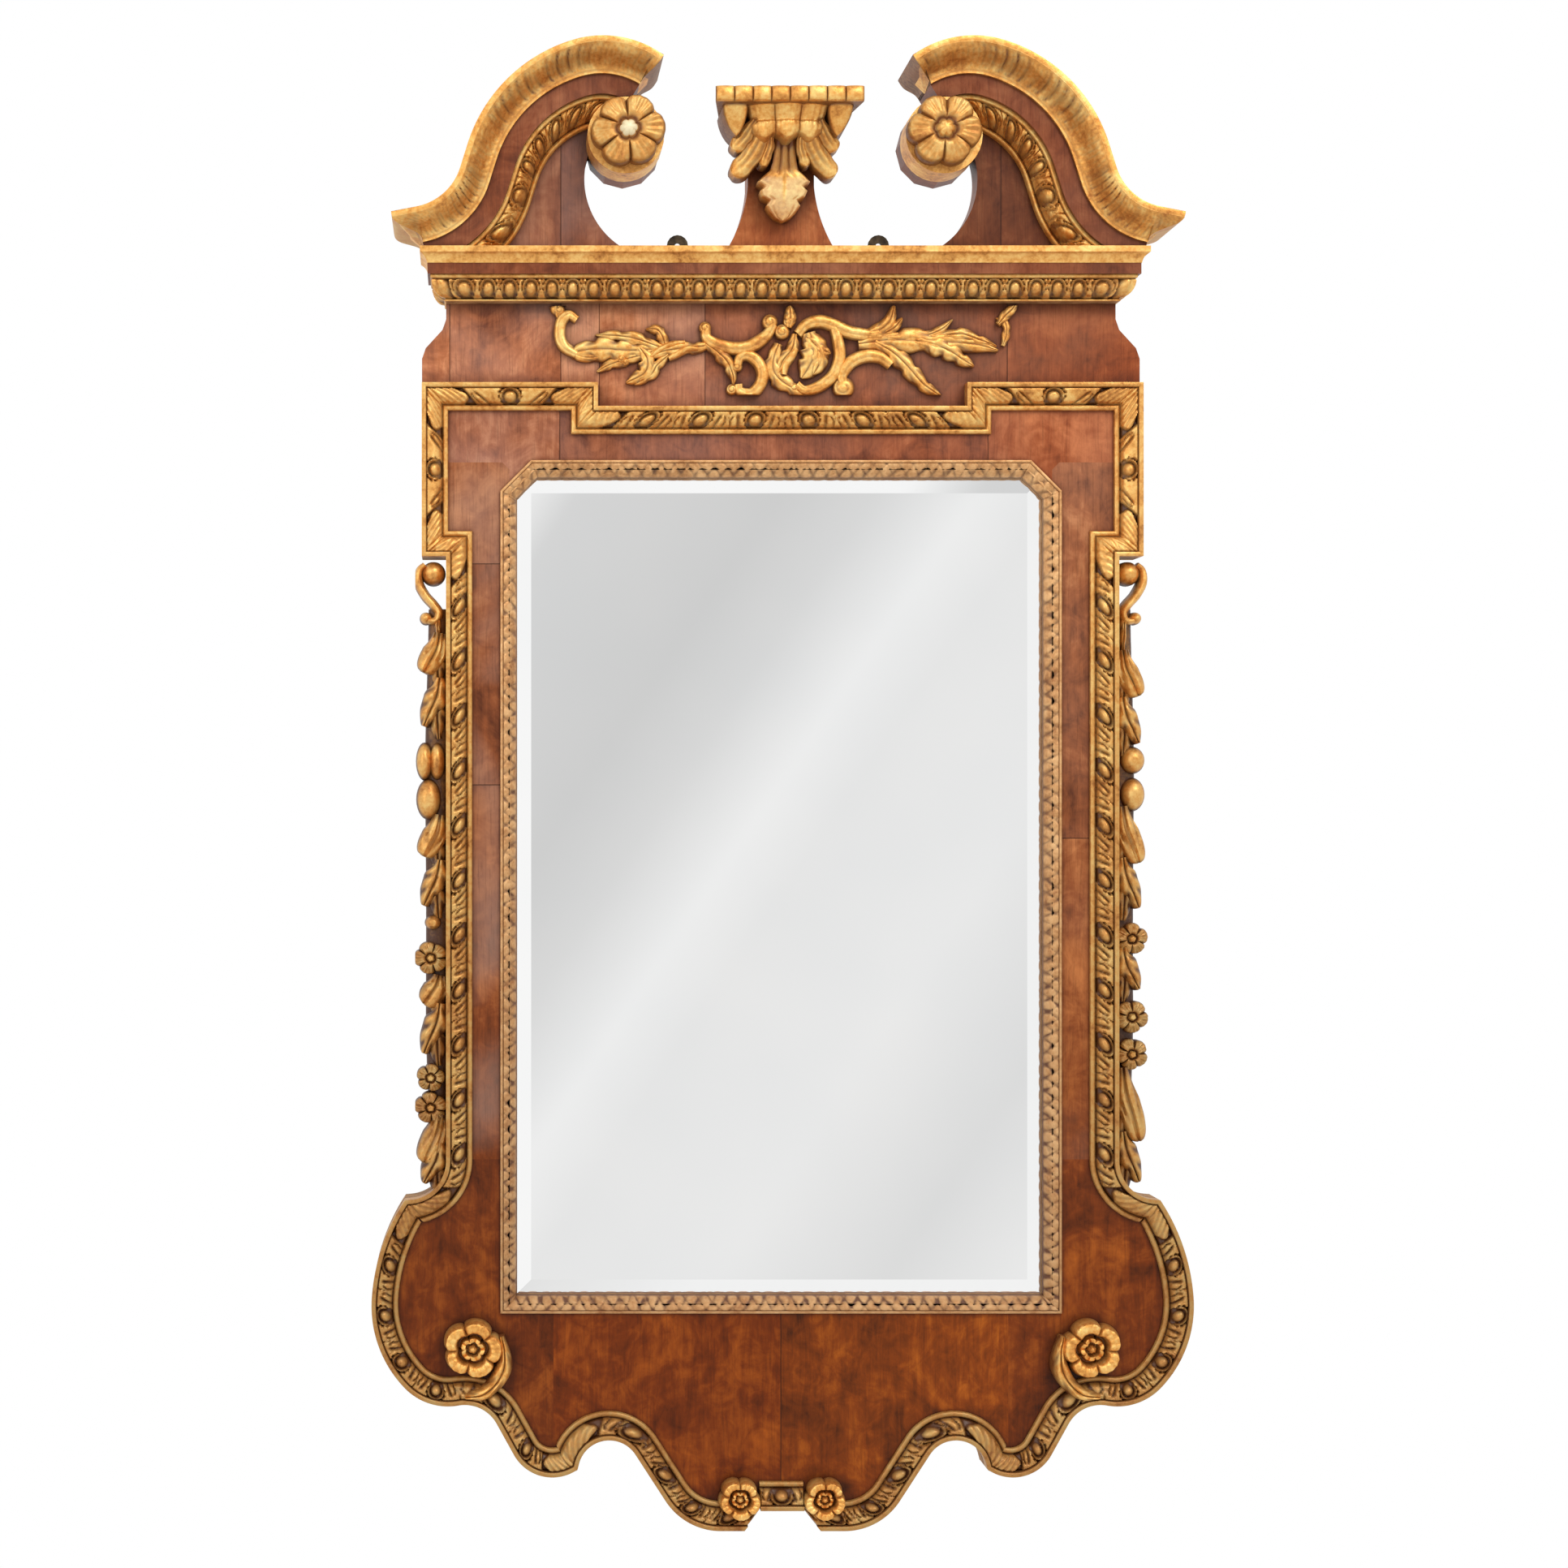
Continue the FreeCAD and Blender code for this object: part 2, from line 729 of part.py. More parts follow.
def mirror_glass():
    half = sight_half_width + glass_cover
    plate = glass_body(half, sight_top + glass_cover, sight_bottom - glass_cover)
    plate.translate(Y_AXIS * -rebate_depth)
    return plate


def backing_board():
    half = opening_half_width + backing_lap - backing_clearance
    bottom = opening_bottom - backing_lap + backing_clearance
    top = opening_top + backing_lap - backing_clearance
    board = Part.makeBox(2 * half, backing_thickness, top - bottom,
                         FreeCAD.Vector(-half, -rebate_depth, bottom))
    return board.cut(holes)


def hanger(x):
    """A hanging plate let into the back, its eye standing above the cornice."""
    half = hanger_width / 2
    body = Part.makeBox(hanger_width, hanger_thickness, hanger_length - hanger_shoulder,
                        FreeCAD.Vector(x - half, -hanger_thickness, -hanger_length))
    neck = Part.makeBox(half, hanger_thickness, hanger_shoulder,
                        FreeCAD.Vector(x - half / 2, -hanger_thickness, -hanger_shoulder))
    eye = ring_face(x, 0, hanger_eye_radius, hanger_eye_sides)
    return body.fuse([neck, slab(eye, -frame_depth, hanger_thickness - frame_depth)]).removeSplitter()


def hanger_seats():
    """Housings for the plates, open at the back and at the top."""
    half = hanger_width / 2 + seat_gap
    depth = hanger_length + seat_gap
    return Part.makeCompound([
        Part.makeBox(2 * half, hanger_thickness, depth,
                     FreeCAD.Vector(side * hanger_spacing / 2 - half, -hanger_thickness, -depth))
        for side in (-1, 1)])


def hanging_plates():
    plates = []
    for side in (-1, 1):
        x = side * hanger_spacing / 2
        start = FreeCAD.Vector(x, spare_length / 2, 0)
        hole = Part.makeCylinder(hanger_hole_radius, spare_length, start, -Y_AXIS)
        plates.append(hanger(x).cut(holes).cut(hole))
    return plates


# Cornice members, each from the ground behind it: distance down from its top, depth in front
fillet_foot = (fillet_height, fillet_proud - fillet_back_step)
fillet_edge = (fillet_lip, fillet_proud)
fillet_profile = [(0, 0), (0, fillet_proud), fillet_edge,
                  (bow(fillet_edge, fillet_foot, hollow_bow_shares), fillet_foot), (fillet_height, 0)]
fascia_profile = [(0, 0), (0, fascia_proud), (fascia_height, fascia_proud), (fascia_height, 0)]
ovolo_edge = (ovolo_lip, ovolo_proud)
ovolo_foot = (ovolo_height - ovolo_toe, ovolo_toe)
ovolo_profile = [(0, 0), (0, ovolo_proud), ovolo_edge,
                 (bow(ovolo_edge, ovolo_foot, round_bow_shares), ovolo_foot),
                 (ovolo_height, ovolo_toe), (ovolo_height, 0)]


def level_run(profile, start, direction, length, before, after):
    """A level length whose profile hangs from the start; its ends are mitred in plan where asked."""
    outward = FreeCAD.Vector(direction.y, -direction.x, 0)
    lead = start - direction * (mitre_reach if before else 0)
    reach = length + mitre_reach * (int(before) + int(after))
    wire = section(profile, lambda point: lead - Z_AXIS * point[0] + outward * point[1])
    run = Part.Face(wire).extrude(direction * reach)
    if before:
        run = run.cut(beyond(start, -direction - outward, mitre_cut))
    if after:
        run = run.cut(beyond(start + direction * length, direction - outward, mitre_cut))
    return run.Solids[0]


def cornice_member(profile, top):
    """Front length and both returns of one member."""
    half = side_half_width
    left, right = FreeCAD.Vector(-half, -cornice_ground, top), FreeCAD.Vector(half, -cornice_ground, top)
    front = level_run(profile, left, X_AXIS, 2 * half, True, True)
    side = level_run(profile, right, Y_AXIS, cornice_ground, True, False)
    return [front, side, other_side(side)]


def cornice_core():
    half = side_half_width
    return block_between(-half, half, cornice_bottom, cornice_top, -veneer_thickness, cornice_build_out)


# Swan neck
neck_legs = [
    ("arc", neck_hollow_radius, -neck_hollow_turn), ("run", neck_length),
    ("arc", neck_shoulder_radius, neck_shoulder_turn), ("arc", neck_scroll_radius, neck_scroll_turn),
]
neck_start = at(neck_start_half_width, neck_start_height)
neck_heading = 2 * quarter_turn - neck_start_turn
neck_end, neck_end_heading = trace(neck_start, neck_heading, neck_legs)[1:]
crown_tip = (crown_height - crown_lip, crown_projection)
crown_hollow = bow((0, 0), crown_tip, crown_hollow_shares)
crown_profile = [
    (0, -mitre_bed), (0, 0), crown_hollow, crown_tip, (crown_height, crown_projection),
    (crown_height, -mitre_bed)]
crown_block_profile = [
    (0, 0), (0, crown_foot_front), (crown_height, crown_foot_front), (crown_height, 0)]
neck_fascia_profile = [
    (0, 0), (0, neck_fascia_front), (neck_fascia_height, neck_fascia_front), (neck_fascia_height, 0)]
neck_moulding_foot = neck_fascia_height + neck_moulding_height
neck_moulding_edge = (neck_fascia_height + neck_moulding_lip, neck_moulding_front)
neck_moulding_profile = [
    (neck_fascia_height, 0), (neck_fascia_height, neck_moulding_front), neck_moulding_edge,
    (neck_moulding_foot, neck_moulding_toe_front), (neck_moulding_foot, 0)]


def below(profile):
    """A profile turned over, so that it hangs down from the line it follows."""
    return [(-across, front) for across, front in profile]


def neck_edges(offset):
    """The neck line moved across by an offset."""
    legs = []
    for leg in neck_legs:
        if leg[0] == "run":
            legs.append(leg)
        else:
            legs.append(("arc", leg[1] + math.copysign(offset, leg[2]), leg[2]))
    return trace(neck_start + right_of(neck_heading) * offset, neck_heading, legs)[0]


def crown_return(corner, across, outward, share):
    """The short length that carries the crown from the corner back to the wall."""
    profile = crown_profile[1:-1] + [(crown_height, 0)]
    wire = section(profile, lambda point: corner + across * point[0] + outward * (point[1] * share))
    run = Part.Face(wire).extrude(Y_AXIS * (crown_projection - corner.y))
    run.translate(Y_AXIS * -crown_projection)
    return run.cut(beyond(corner, -outward - Y_AXIS * share, mitre_cut)).Solids[0]


def right_crown_moulding():
    """Crown carried up the swan neck and mitred at both ends to returns that run back to the wall."""
    foot = Y_AXIS * -crown_foot_front
    low, high = neck_start + foot, neck_end + foot
    low_out, high_out = -heading_vector(neck_heading), heading_vector(neck_end_heading)
    legs = [("run", mitre_reach)] + neck_legs + [("run", mitre_reach)]
    front = carried(crown_profile, low + low_out * mitre_reach, neck_heading, legs)
    front = front.cut(beyond(low, low_out + Y_AXIS, mitre_cut))
    front = front.cut(beyond(high, high_out + Y_AXIS * neck_end_return_share, mitre_cut))
    block = carried(crown_block_profile, neck_start, neck_heading, neck_legs)
    return [block.fuse(front.Solids[0]).removeSplitter().Solids[0],
            crown_return(low, right_of(neck_heading), low_out, 1),
            crown_return(high, right_of(neck_end_heading), high_out, neck_end_return_share)]


def below_cornice_top():
    lower = cornice_top - spare_length
    return block_between(-right_end, right_end, lower, cornice_top, -spare_length, 2 * spare_length)


def boss_space():
    return ring_space(boss_half_spacing, boss_height, boss_radius)


def neck_band(profile):
    band = carried(below(profile), neck_start, neck_heading, neck_legs)
    return band.cut(below_cornice_top()).cut(boss_space())


def pediment_ground(back, front):
    """Outline of one pediment board with its round throat and the disc behind the scroll boss."""
    edges = neck_edges(crown_height - pediment_top_step)
    upper = neck_end + right_of(neck_end_heading) * (crown_height - pediment_top_step)
    inner = neck_end - right_of(neck_end_heading) * neck_moulding_foot
    tail, foot = at(neck_start.x - pediment_tail_inset, cornice_top), at(neck_start.x, cornice_top)
    corners = [upper, inner, tail, foot,
               neck_start + right_of(neck_heading) * (crown_height - pediment_top_step)]
    for first, last in zip(corners, corners[1:]):
        edges.append(Part.LineSegment(first, last).toShape())
    ground = slab(Part.Face(Part.Wire(edges)), back, front)
    x, z = neck_start.x - pediment_throat_inset, neck_start.z + pediment_throat_rise
    throat = Part.makeCylinder(pediment_throat_radius, spare_length, at(x, z, front - spare_length), -Y_AXIS)
    disc = slab(ring_face(boss_half_spacing, boss_height, boss_radius, boss_disc_sides), back, front)
    return ground.cut(throat).fuse(disc).removeSplitter()


def right_scroll_boss():
    return slab(ring_face(boss_half_spacing, boss_height, boss_radius, boss_sides), 0, boss_front)


def petal_layer(x, z, radius, petals, back, front):
    """A plate with one blunt lobe for each petal."""
    corners = []
    step = full_turn / petals
    for petal in range(petals):
        for turn_share, reach_share in petal_shares:
            point = heading_vector((petal + turn_share) * step) * (radius * reach_share)
            corners.append((x + point.x, z + point.z))
    return slab(corner_face(corners), back, front)


def flower(x, z, radius, petals, back, proud, button_radius, button_proud):
    """A round of petals stepped in towards the front, with a button in the middle."""
    step = back + proud * flower_step_share
    lower = petal_layer(x, z, radius, petals, back, step)
    upper = petal_layer(x, z, radius * flower_front_share, petals, step, back + proud)
    corners = [heading_vector(turn) * button_radius for turn in range(0, full_turn, button_turn)]
    button = slab(corner_face([(x + point.x, z + point.z) for point in corners]),
                  back + proud, back + proud + button_proud)
    return lower.fuse([upper, button]).removeSplitter()


def right_rosette():
    x, z = boss_half_spacing - rosette_inset, boss_height + rosette_rise
    return flower(x, z, rosette_radius, rosette_petals, boss_front, rosette_proud,
                  rosette_button_radius, rosette_button_proud)


def right_base_flower():
    return flower(base_flower_half_spacing, base_flower_height, base_flower_radius, base_flower_petals, 0,
                  base_flower_proud, base_flower_button_radius, rosette_button_proud)


def leaf(x0, z0, x1, z1, width, back, front):
    """A pointed leaf between two tips, as a plate."""
    first, last = at(x0, z0), at(x1, z1)
    across = (last - first).cross(Y_AXIS).normalize() * (width / 2)
    corners = []
    for share, side in leaf_shares:
        point = first + (last - first) * share + across * side
        corners.append((point.x, point.z))
    return slab(corner_face(corners), back, front)


def right_volute_flower():
    """The flower in the bend of the ear, with its tail lapping over the moulding."""
    x, z = side_half_width - volute_inset * ear_scale, side_foot - volute_drop * ear_scale
    bloom = flower(x, z, volute_radius, volute_petals, 0, volute_proud,
                   rosette_button_radius, rosette_button_proud)
    tail = leaf(x, z, x, z - volute_tail_length, volute_tail_width, moulding_proud + seat_gap, volute_proud)
    return bloom.fuse(tail)


# Central console
def plinth_board():
    """The block behind the bracket, its foot flared out in a curve on both sides."""
    foot, bend = at(plinth_foot_half_width, cornice_top), at(plinth_bend_half_width, plinth_bend_height)
    corners = [at(plinth_half_width, plinth_flare_top), at(plinth_half_width, plinth_top), at(0, plinth_top),
               at(0, cornice_top), foot]
    edges = [Part.Arc(foot, bend, corners[0]).toShape()]
    for first, last in zip(corners, corners[1:]):
        edges.append(Part.LineSegment(first, last).toShape())
    return both_sides(slab(Part.Face(Part.Wire(edges)), -frame_depth, 0))


def console_platform():
    """The little shelf on top, with a row of barrel beads along its front edge."""
    back, front = platform_back_half_width, platform_half_width
    reach = frame_depth + platform_front - platform_bead_proud
    corners = [FreeCAD.Vector(x, y, plinth_top) for x, y in
               [(-front, -reach), (-back, 0), (back, 0), (front, -reach)]]
    here, pitch = corners[-1], 2 * platform_half_width / platform_beads
    for bead in range(platform_beads):
        there = here - X_AXIS * pitch
        corners += [here + (there - here) * bead_share - Y_AXIS * platform_bead_proud,
                    there + (here - there) * bead_share - Y_AXIS * platform_bead_proud, there]
        here = there
    return Part.Face(Part.makePolygon(corners)).extrude(Z_AXIS * platform_thickness)


def console_bracket():
    """Leaf bracket under the shelf: a side outline carried across, cut to the outline of the leaves."""
    place = [at(-right_end, plinth_top * up, platform_front * out) for out, up in bracket_side_shares]
    edges = [Part.Arc(*place[:3]).toShape(), Part.Arc(*place[2:]).toShape()]
    corners = [place[-1], at(-right_end, place[-1].z), at(-right_end, plinth_top), place[0]]
    for first, last in zip(corners, corners[1:]):
        edges.append(Part.LineSegment(first, last).toShape())
    body = Part.Face(Part.Wire(edges)).extrude(X_AXIS * (2 * right_end))
    front = [(platform_half_width * out, plinth_top * up) for out, up in bracket_front_shares]
    right = slab(corner_face([(0, plinth_top)] + front), 0, 2 * spare_length)
    return both_sides(body.common(right))


# Carving
def frieze_carving():
    """The rocaille spray as overlapping pointed leaves and broken scrolls."""
    solids, bare = [], cornice_bottom - crest_height
    for (x0, down0, x1, down1), wide in carving_leaves:
        solids.append(leaf(carving_half_length * x0, cornice_bottom - bare * down0, carving_half_length * x1,
                           cornice_bottom - bare * down1, carving_half_length * wide, 0, carving_proud))
    return solids[0].fuse(solids[1:]).removeSplitter()


def right_drop():
    """A side drop of leaves and fruit: a lobed back layer with a narrower layer in front."""
    layers, drop_top = [], side_top - drop_top_gap
    for back, front, reach_share in ((drop_back, 0, 1), (0, drop_front, drop_front_share)):
        corners, here = [(side_half_width, drop_top)], drop_top
        for length_share, width_share in drop_lobes:
            length = (side_length + drop_tail) * length_share
            for down_share, out_share in lobe_shares:
                width = drop_valley + (drop_width * width_share * reach_share - drop_valley) * out_share
                corners.append((side_half_width + width, here - length * down_share))
            here -= length
        corners.append((side_half_width, here))
        layers.append(slab(corner_face(corners), back, front))
    whole = layers[0].fuse(layers[1]).removeSplitter()
    reach = ear_neck_radius * ear_scale
    middle_x, corners = side_half_width + reach, [(side_half_width + reach, side_foot)]
    for step in range(drop_bend_steps + 1):
        point = heading_vector(quarter_turn * step / drop_bend_steps) * (reach - seat_gap)
        corners.append((middle_x - point.x, side_foot - point.z))
    bend = slab(corner_face(corners), -spare_length, spare_length)
    above = block_between(side_half_width, right_end, side_foot, crest_height, -spare_length, spare_length)
    return whole.common(above.fuse(bend))


save("top_rail", top_rail())
save("apron_board", apron_board())
save("frieze_board", frieze_board())
save("plinth_board", plinth_board())
save_pair("stile", right_stile())
save_pair("ear_board", right_ear_board())
save_pair("pediment_board", pediment_ground(-frame_depth, -veneer_thickness))

save("frieze_veneer", frieze_veneer())
save("top_rail_veneer", top_rail_veneer())
save_pair("stile_veneer", right_stile_veneer())
save_pair("apron_veneer", right_apron_veneer())
save_pair("ear_veneer", right_ear_veneer())
save_pair("pediment_veneer", pediment_ground(-veneer_thickness, 0))

top_slip, cant_slip, side_slip, bottom_slip = sight_slips()
save("sight_moulding_top", [top_slip, cant_slip, other_side(cant_slip)])
save("sight_moulding_right", [side_slip])
save("sight_moulding_left", [other_side(side_slip)])
save("sight_moulding_bottom", [bottom_slip])
save("mirror_glass", mirror_glass())
save("backing_board", backing_board())
save("back_nails", back_nails())
save("hanging_plates", hanging_plates())

save("crest_moulding", crest_moulding())
save_pair("shoulder_moulding", right_shoulder_moulding())
save_pair("side_moulding", [outline_moulding("side")])
save_twins("ear_mouldings", [outline_moulding("ear")])
save_twins("apron_mouldings", right_apron_moulding())
save("apron_centre_moulding", apron_centre_moulding())

save("cornice_core", cornice_core())
save("cornice_fillet", cornice_member(fillet_profile, cornice_top))
save("cornice_fascia", cornice_member(fascia_profile, cornice_top - fillet_height))
save("cornice_ovolo", cornice_member(ovolo_profile, cornice_top - fillet_height - fascia_height))

save_twins("crown_mouldings", right_crown_moulding())
save_pair("crown_fascia", neck_band(neck_fascia_profile))
save_twins("swan_mouldings", neck_band(neck_moulding_profile))
save_twins("scroll_bosses", right_scroll_boss())
save_twins("rosettes", right_rosette())

save("console_platform", console_platform())
save("console_bracket", console_bracket())
save("frieze_carving", frieze_carving())
save_pair("drop", right_drop())
save_twins("volute_flowers", right_volute_flower())
save_twins("base_flowers", right_base_flower())
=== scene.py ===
from math import atan2, cos, hypot, pi, radians, sin, tan

import bpy
import numpy as np
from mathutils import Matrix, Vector


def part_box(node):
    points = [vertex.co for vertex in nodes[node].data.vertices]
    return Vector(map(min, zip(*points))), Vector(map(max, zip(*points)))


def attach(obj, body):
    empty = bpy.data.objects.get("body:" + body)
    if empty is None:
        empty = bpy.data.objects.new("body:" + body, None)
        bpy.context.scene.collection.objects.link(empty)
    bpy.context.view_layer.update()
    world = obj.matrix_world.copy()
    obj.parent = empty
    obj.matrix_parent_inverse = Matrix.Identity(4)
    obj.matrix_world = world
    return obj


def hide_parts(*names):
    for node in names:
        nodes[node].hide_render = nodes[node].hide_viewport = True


# A tall wall mirror in a walnut and gilt frame with a broken swan-neck pediment.
# Places are in millimetres: x to the right, z up, and f forward from the face of the veneer.

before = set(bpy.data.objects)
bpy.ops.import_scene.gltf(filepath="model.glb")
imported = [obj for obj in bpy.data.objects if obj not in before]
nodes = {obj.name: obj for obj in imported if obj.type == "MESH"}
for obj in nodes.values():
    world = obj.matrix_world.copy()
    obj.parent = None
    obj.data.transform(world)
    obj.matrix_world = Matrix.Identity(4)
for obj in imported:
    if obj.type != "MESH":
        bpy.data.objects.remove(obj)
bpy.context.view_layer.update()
print("frame loaded:", len(nodes), "nodes")

scene = bpy.context.scene
mm = 0.001
veneerPlane = 27.0  # from the wall to the veneer's face
wall = -veneerPlane

# The photograph: how its pixels fall on the veneer plane, and where and how far off the eye stands
photo = {"mmPerPixel": 0.76, "middle": 963.5, "level": 296.4, "eye": (200.0, 1000.0), "eyeDistance": 2500.0}


def nodeBox(name):
    # lowest and highest corners of a node as x, f, z in millimetres
    low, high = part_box(name)
    return (np.array([low[0] / mm, -high[1] / mm - veneerPlane, low[2] / mm]),
            np.array([high[0] / mm, -low[1] / mm - veneerPlane, high[2] / mm]))


def fromPhoto(pixels, front):
    # pixel places seen at a depth in front of the veneer, drawn towards the eye's own pixel, as x and z
    eye = np.array(photo["eye"])
    nearer = 1.0 / (1.0 + front / photo["eyeDistance"])
    seen = eye + (np.asarray(pixels, dtype=float) - eye) * nearer
    return (seen - [photo["middle"], photo["level"]]) * [photo["mmPerPixel"], -photo["mmPerPixel"]]


# Numbers

def soft(low, high, x):
    # soft step: 0 below low, 1 above high, 3t2 - 2t3 between
    t = np.clip((x - low) / (high - low), 0.0, 1.0)
    return t * t * (3.0 - 2.0 * t)


def hump(x, middle, width):
    # round hump of a given width, a circle's upper half squashed to height 1
    return np.sqrt(np.clip(1.0 - ((x - middle) / (width / 2)) ** 2, 0.0, 1.0))


def cut(x, middle, width):
    # narrow bell-shaped groove, 1 in the middle
    return np.exp(-((x - middle) / width) ** 2)


def domed(w, power, root=0.5):
    # 1 in the middle and 0 at w = -1 and 1, squarer as the power grows
    return (1 - np.abs(w) ** power) ** root


def wave(x):
    # cosine lifted to lie between 0 and 1
    return 0.5 + 0.5 * np.cos(x)


def uneven(a, b, size, seed):
    # smooth unevenness between about -1 and 1, from a few crossed waves
    rng = np.random.default_rng(seed)
    total = 0.0
    for k in range(6):
        turn, shift, pace = rng.uniform(0, 2 * pi), rng.uniform(0, 2 * pi), rng.uniform(0.7, 2.2)
        total = total + np.sin((a * cos(turn) + b * sin(turn)) * pace / size + shift) / pace
    return total / 3.0


def sheet(rows, columns):
    # the two parameters of a surface: t from 0 to 1 down the rows, w from -1 to 1 across the columns
    return np.linspace(0, 1, rows)[:, None], np.linspace(-1, 1, columns)[None]


def placesOf(x, f, z):
    # x, f and z, each a number or a grid, as one grid of points
    return np.stack(np.broadcast_arrays(x, f, z), -1)


# Meshes

class Carving:
    # gathers grids of points into one piece; hollow is 1 where dirt and brown glaze gather and where shade is
    # painted in on walls, undersides and gaps between parts, and below 0 where the gold is worn

    def __init__(self):
        self.points, self.faces, self.hollows, self.count = [], [], [], 0

    def grid(self, points, hollow=0.0, flip=False):
        # quads between neighbours, the last column joined to the first, and a face on each end row
        rows, columns = points.shape[:2]
        i, j = np.meshgrid(np.arange(rows - 1), np.arange(columns), indexing="ij")
        k = (j + 1) % columns
        quads = np.stack([i * columns + j, i * columns + k, (i + 1) * columns + k, (i + 1) * columns + j], -1)
        quads = quads.reshape(-1, 4) + self.count
        first = np.arange(columns) + self.count
        last = first + (rows - 1) * columns
        way = -1 if flip else 1
        self.faces += [quads[:, ::way], first[None, ::-way], last[None, ::way]]
        self.points.append(points.reshape(-1, 3))
        self.hollows.append(np.broadcast_to(hollow, (rows, columns)).reshape(-1).astype(float))
        self.count += rows * columns

    def relief(self, front, hollow, back):
        # a carved face whose side columns fall straight back to the ground
        behind = front[:, [-1, 0]].copy()
        behind[..., 1] = back
        hollow = np.broadcast_to(hollow, front.shape[:2])
        # the walls down to the ground are painted fully dark: brown glaze and painted shade
        self.grid(np.concatenate([front, behind], axis=1),
                  np.concatenate([hollow, np.ones((len(front), 2))], axis=1))

    def disc(self, front, hollow, back):
        # a carved face in rings from its middle out, whose last ring falls straight back to the ground
        rim = front[-1:].copy()
        rim[..., 1] = back
        hollow = np.broadcast_to(hollow, front.shape[:2])
        # the rim falling to the ground is painted fully dark: brown glaze and painted shade
        self.grid(np.concatenate([rim, front[::-1]]),
                  np.concatenate([np.ones((1, front.shape[1])), hollow[::-1]]))

    def addTwin(self):
        # the left-hand twin of everything so far, turned inside out again by the mirror
        points = np.concatenate(self.points) * [-1.0, 1.0, 1.0]
        self.faces += [faces[:, ::-1] + self.count for faces in self.faces]
        self.hollows.append(np.concatenate(self.hollows))
        self.points.append(points)
        self.count *= 2

    def keepInside(self, name, reach=None):
        # nothing passes a node's box, or a given reach to each side of the middle
        low, high = nodeBox(name)
        if reach:
            low[0], high[0] = -reach, reach
        self.points = [np.clip(points, low, high) for points in self.points]

    def finish(self, name, slot, replaced, material, mirrored=False):
        # one smooth mesh with sharp edges where faces turn by more than 48 degrees
        points, way = np.concatenate(self.points), 1
        if mirrored:
            points, way = points * [-1.0, 1.0, 1.0], -1
        faces = [face for same in self.faces for face in same[:, ::way].tolist()]
        mesh = bpy.data.meshes.new(name + "_carved")
        mesh.from_pydata(np.column_stack([points[:, 0], wall - points[:, 1], points[:, 2]]) * mm, [], faces)
        mesh.shade_smooth()
        mesh.set_sharp_from_angle(angle=radians(48))
        layer = mesh.attributes.new("hollow", "FLOAT", "POINT")
        layer.data.foreach_set("value", np.concatenate(self.hollows).astype(np.float32))
        mesh.materials.append(material)
        piece = bpy.data.objects.new(name + "_carved", mesh)
        scene.collection.objects.link(piece)
        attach(piece, "root")
        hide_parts(replaced)


# Finishes

def tone(red, green, blue):
    # a colour as seen on screen, 0 to 255, as the linear values that sockets take
    return tuple(((c / 255 + 0.055) / 1.055) ** 2.4 if c > 10 else c / 3294.6 for c in (red, green, blue))


black, white = (0.0, 0.0, 0.0), (1.0, 1.0, 1.0)


class Recipe:
    # the nodes of a material or a world; add gives a node, and the others give the socket that feeds the next

    def __init__(self, owner):
        owner.use_nodes = True
        self.owner, self.tree = owner, owner.node_tree
        self.shader = self.tree.nodes.get("Principled BSDF")

    def feed(self, node, sockets):
        # sockets as {name or number: value or output}
        for socket, value in sockets.items():
            if isinstance(value, bpy.types.NodeSocket):
                self.tree.links.new(value, node.inputs[socket])
            else:
                node.inputs[socket].default_value = value

    def add(self, kind, sockets=None, **settings):
        # settings are the node's own, such as its operation
        node = self.tree.nodes.new("ShaderNode" + kind)
        for name, value in settings.items():
            setattr(node, name, value)
        self.feed(node, sockets or {})
        return node

    def onPiece(self):
        return self.add("TexCoord").outputs["Object"]

    def turned(self, vector, scale=(1.0, 1.0, 1.0), turn=0.0, shift=(0.0, 0.0, 0.0)):
        # a place scaled, turned in the wall's plane and shifted
        return self.add("Mapping", {"Vector": vector, "Location": shift, "Rotation": (0.0, turn, 0.0),
                                    "Scale": scale}).outputs["Vector"]

    def split(self, vector):
        return self.add("SeparateXYZ", {0: vector}).outputs

    def ramp(self, factor, places, colours):
        # colours at places from 0 to 1, mixed evenly between them
        node = self.add("ValToRGB", {"Fac": factor})
        elements = node.color_ramp.elements
        while len(elements) < len(places):
            elements.new(0.5)
        for element, place, colour in zip(elements, places, colours):
            element.position, element.color = place, (*colour, 1.0)
        return node.outputs["Color"]

    def noise(self, vector, scale, detail=4.0, rough=0.55, warp=0.0):
        return self.add("TexNoise", {"Vector": vector, "Scale": scale, "Detail": detail, "Roughness": rough,
                                     "Distortion": warp}).outputs["Fac"]

    def maths(self, operation, first, second=0.0, third=0.0):
        # MULTIPLY_ADD is first times second plus third, and COMPARE 1 where first and second are within third
        return self.add("Math", {0: first, 1: second, 2: third}, operation=operation).outputs[0]

    def span(self, value, low, high, start=0.0, end=1.0):
        # value from low to high becomes start to end, and stays there beyond
        return self.add("MapRange", {"Value": value, "From Min": low, "From Max": high, "To Min": start,
                                     "To Max": end}).outputs[0]

    def clamp(self, value):
        return self.add("Clamp", {0: value}).outputs[0]

    def blend(self, factor, first, second, how="MIX"):
        # a plain colour is three numbers and gets its fourth here
        first, second = ((*c, 1.0) if isinstance(c, tuple) else c for c in (first, second))
        return self.add("Mix", {0: factor, 6: first, 7: second}, data_type="RGBA", blend_type=how).outputs[2]

    def bump(self, height, depth, strength):
        # depth in metres for a height of 1
        node = self.add("Bump", {"Height": height, "Distance": depth, "Strength": strength})
        self.feed(self.shader, {"Normal": node.outputs["Normal"]})

    def finish(self, colour, rough, **sockets):
        self.feed(self.shader, {"Base Color": colour, "Roughness": rough, **sockets})
        return self.owner


# Lines that mouldings follow

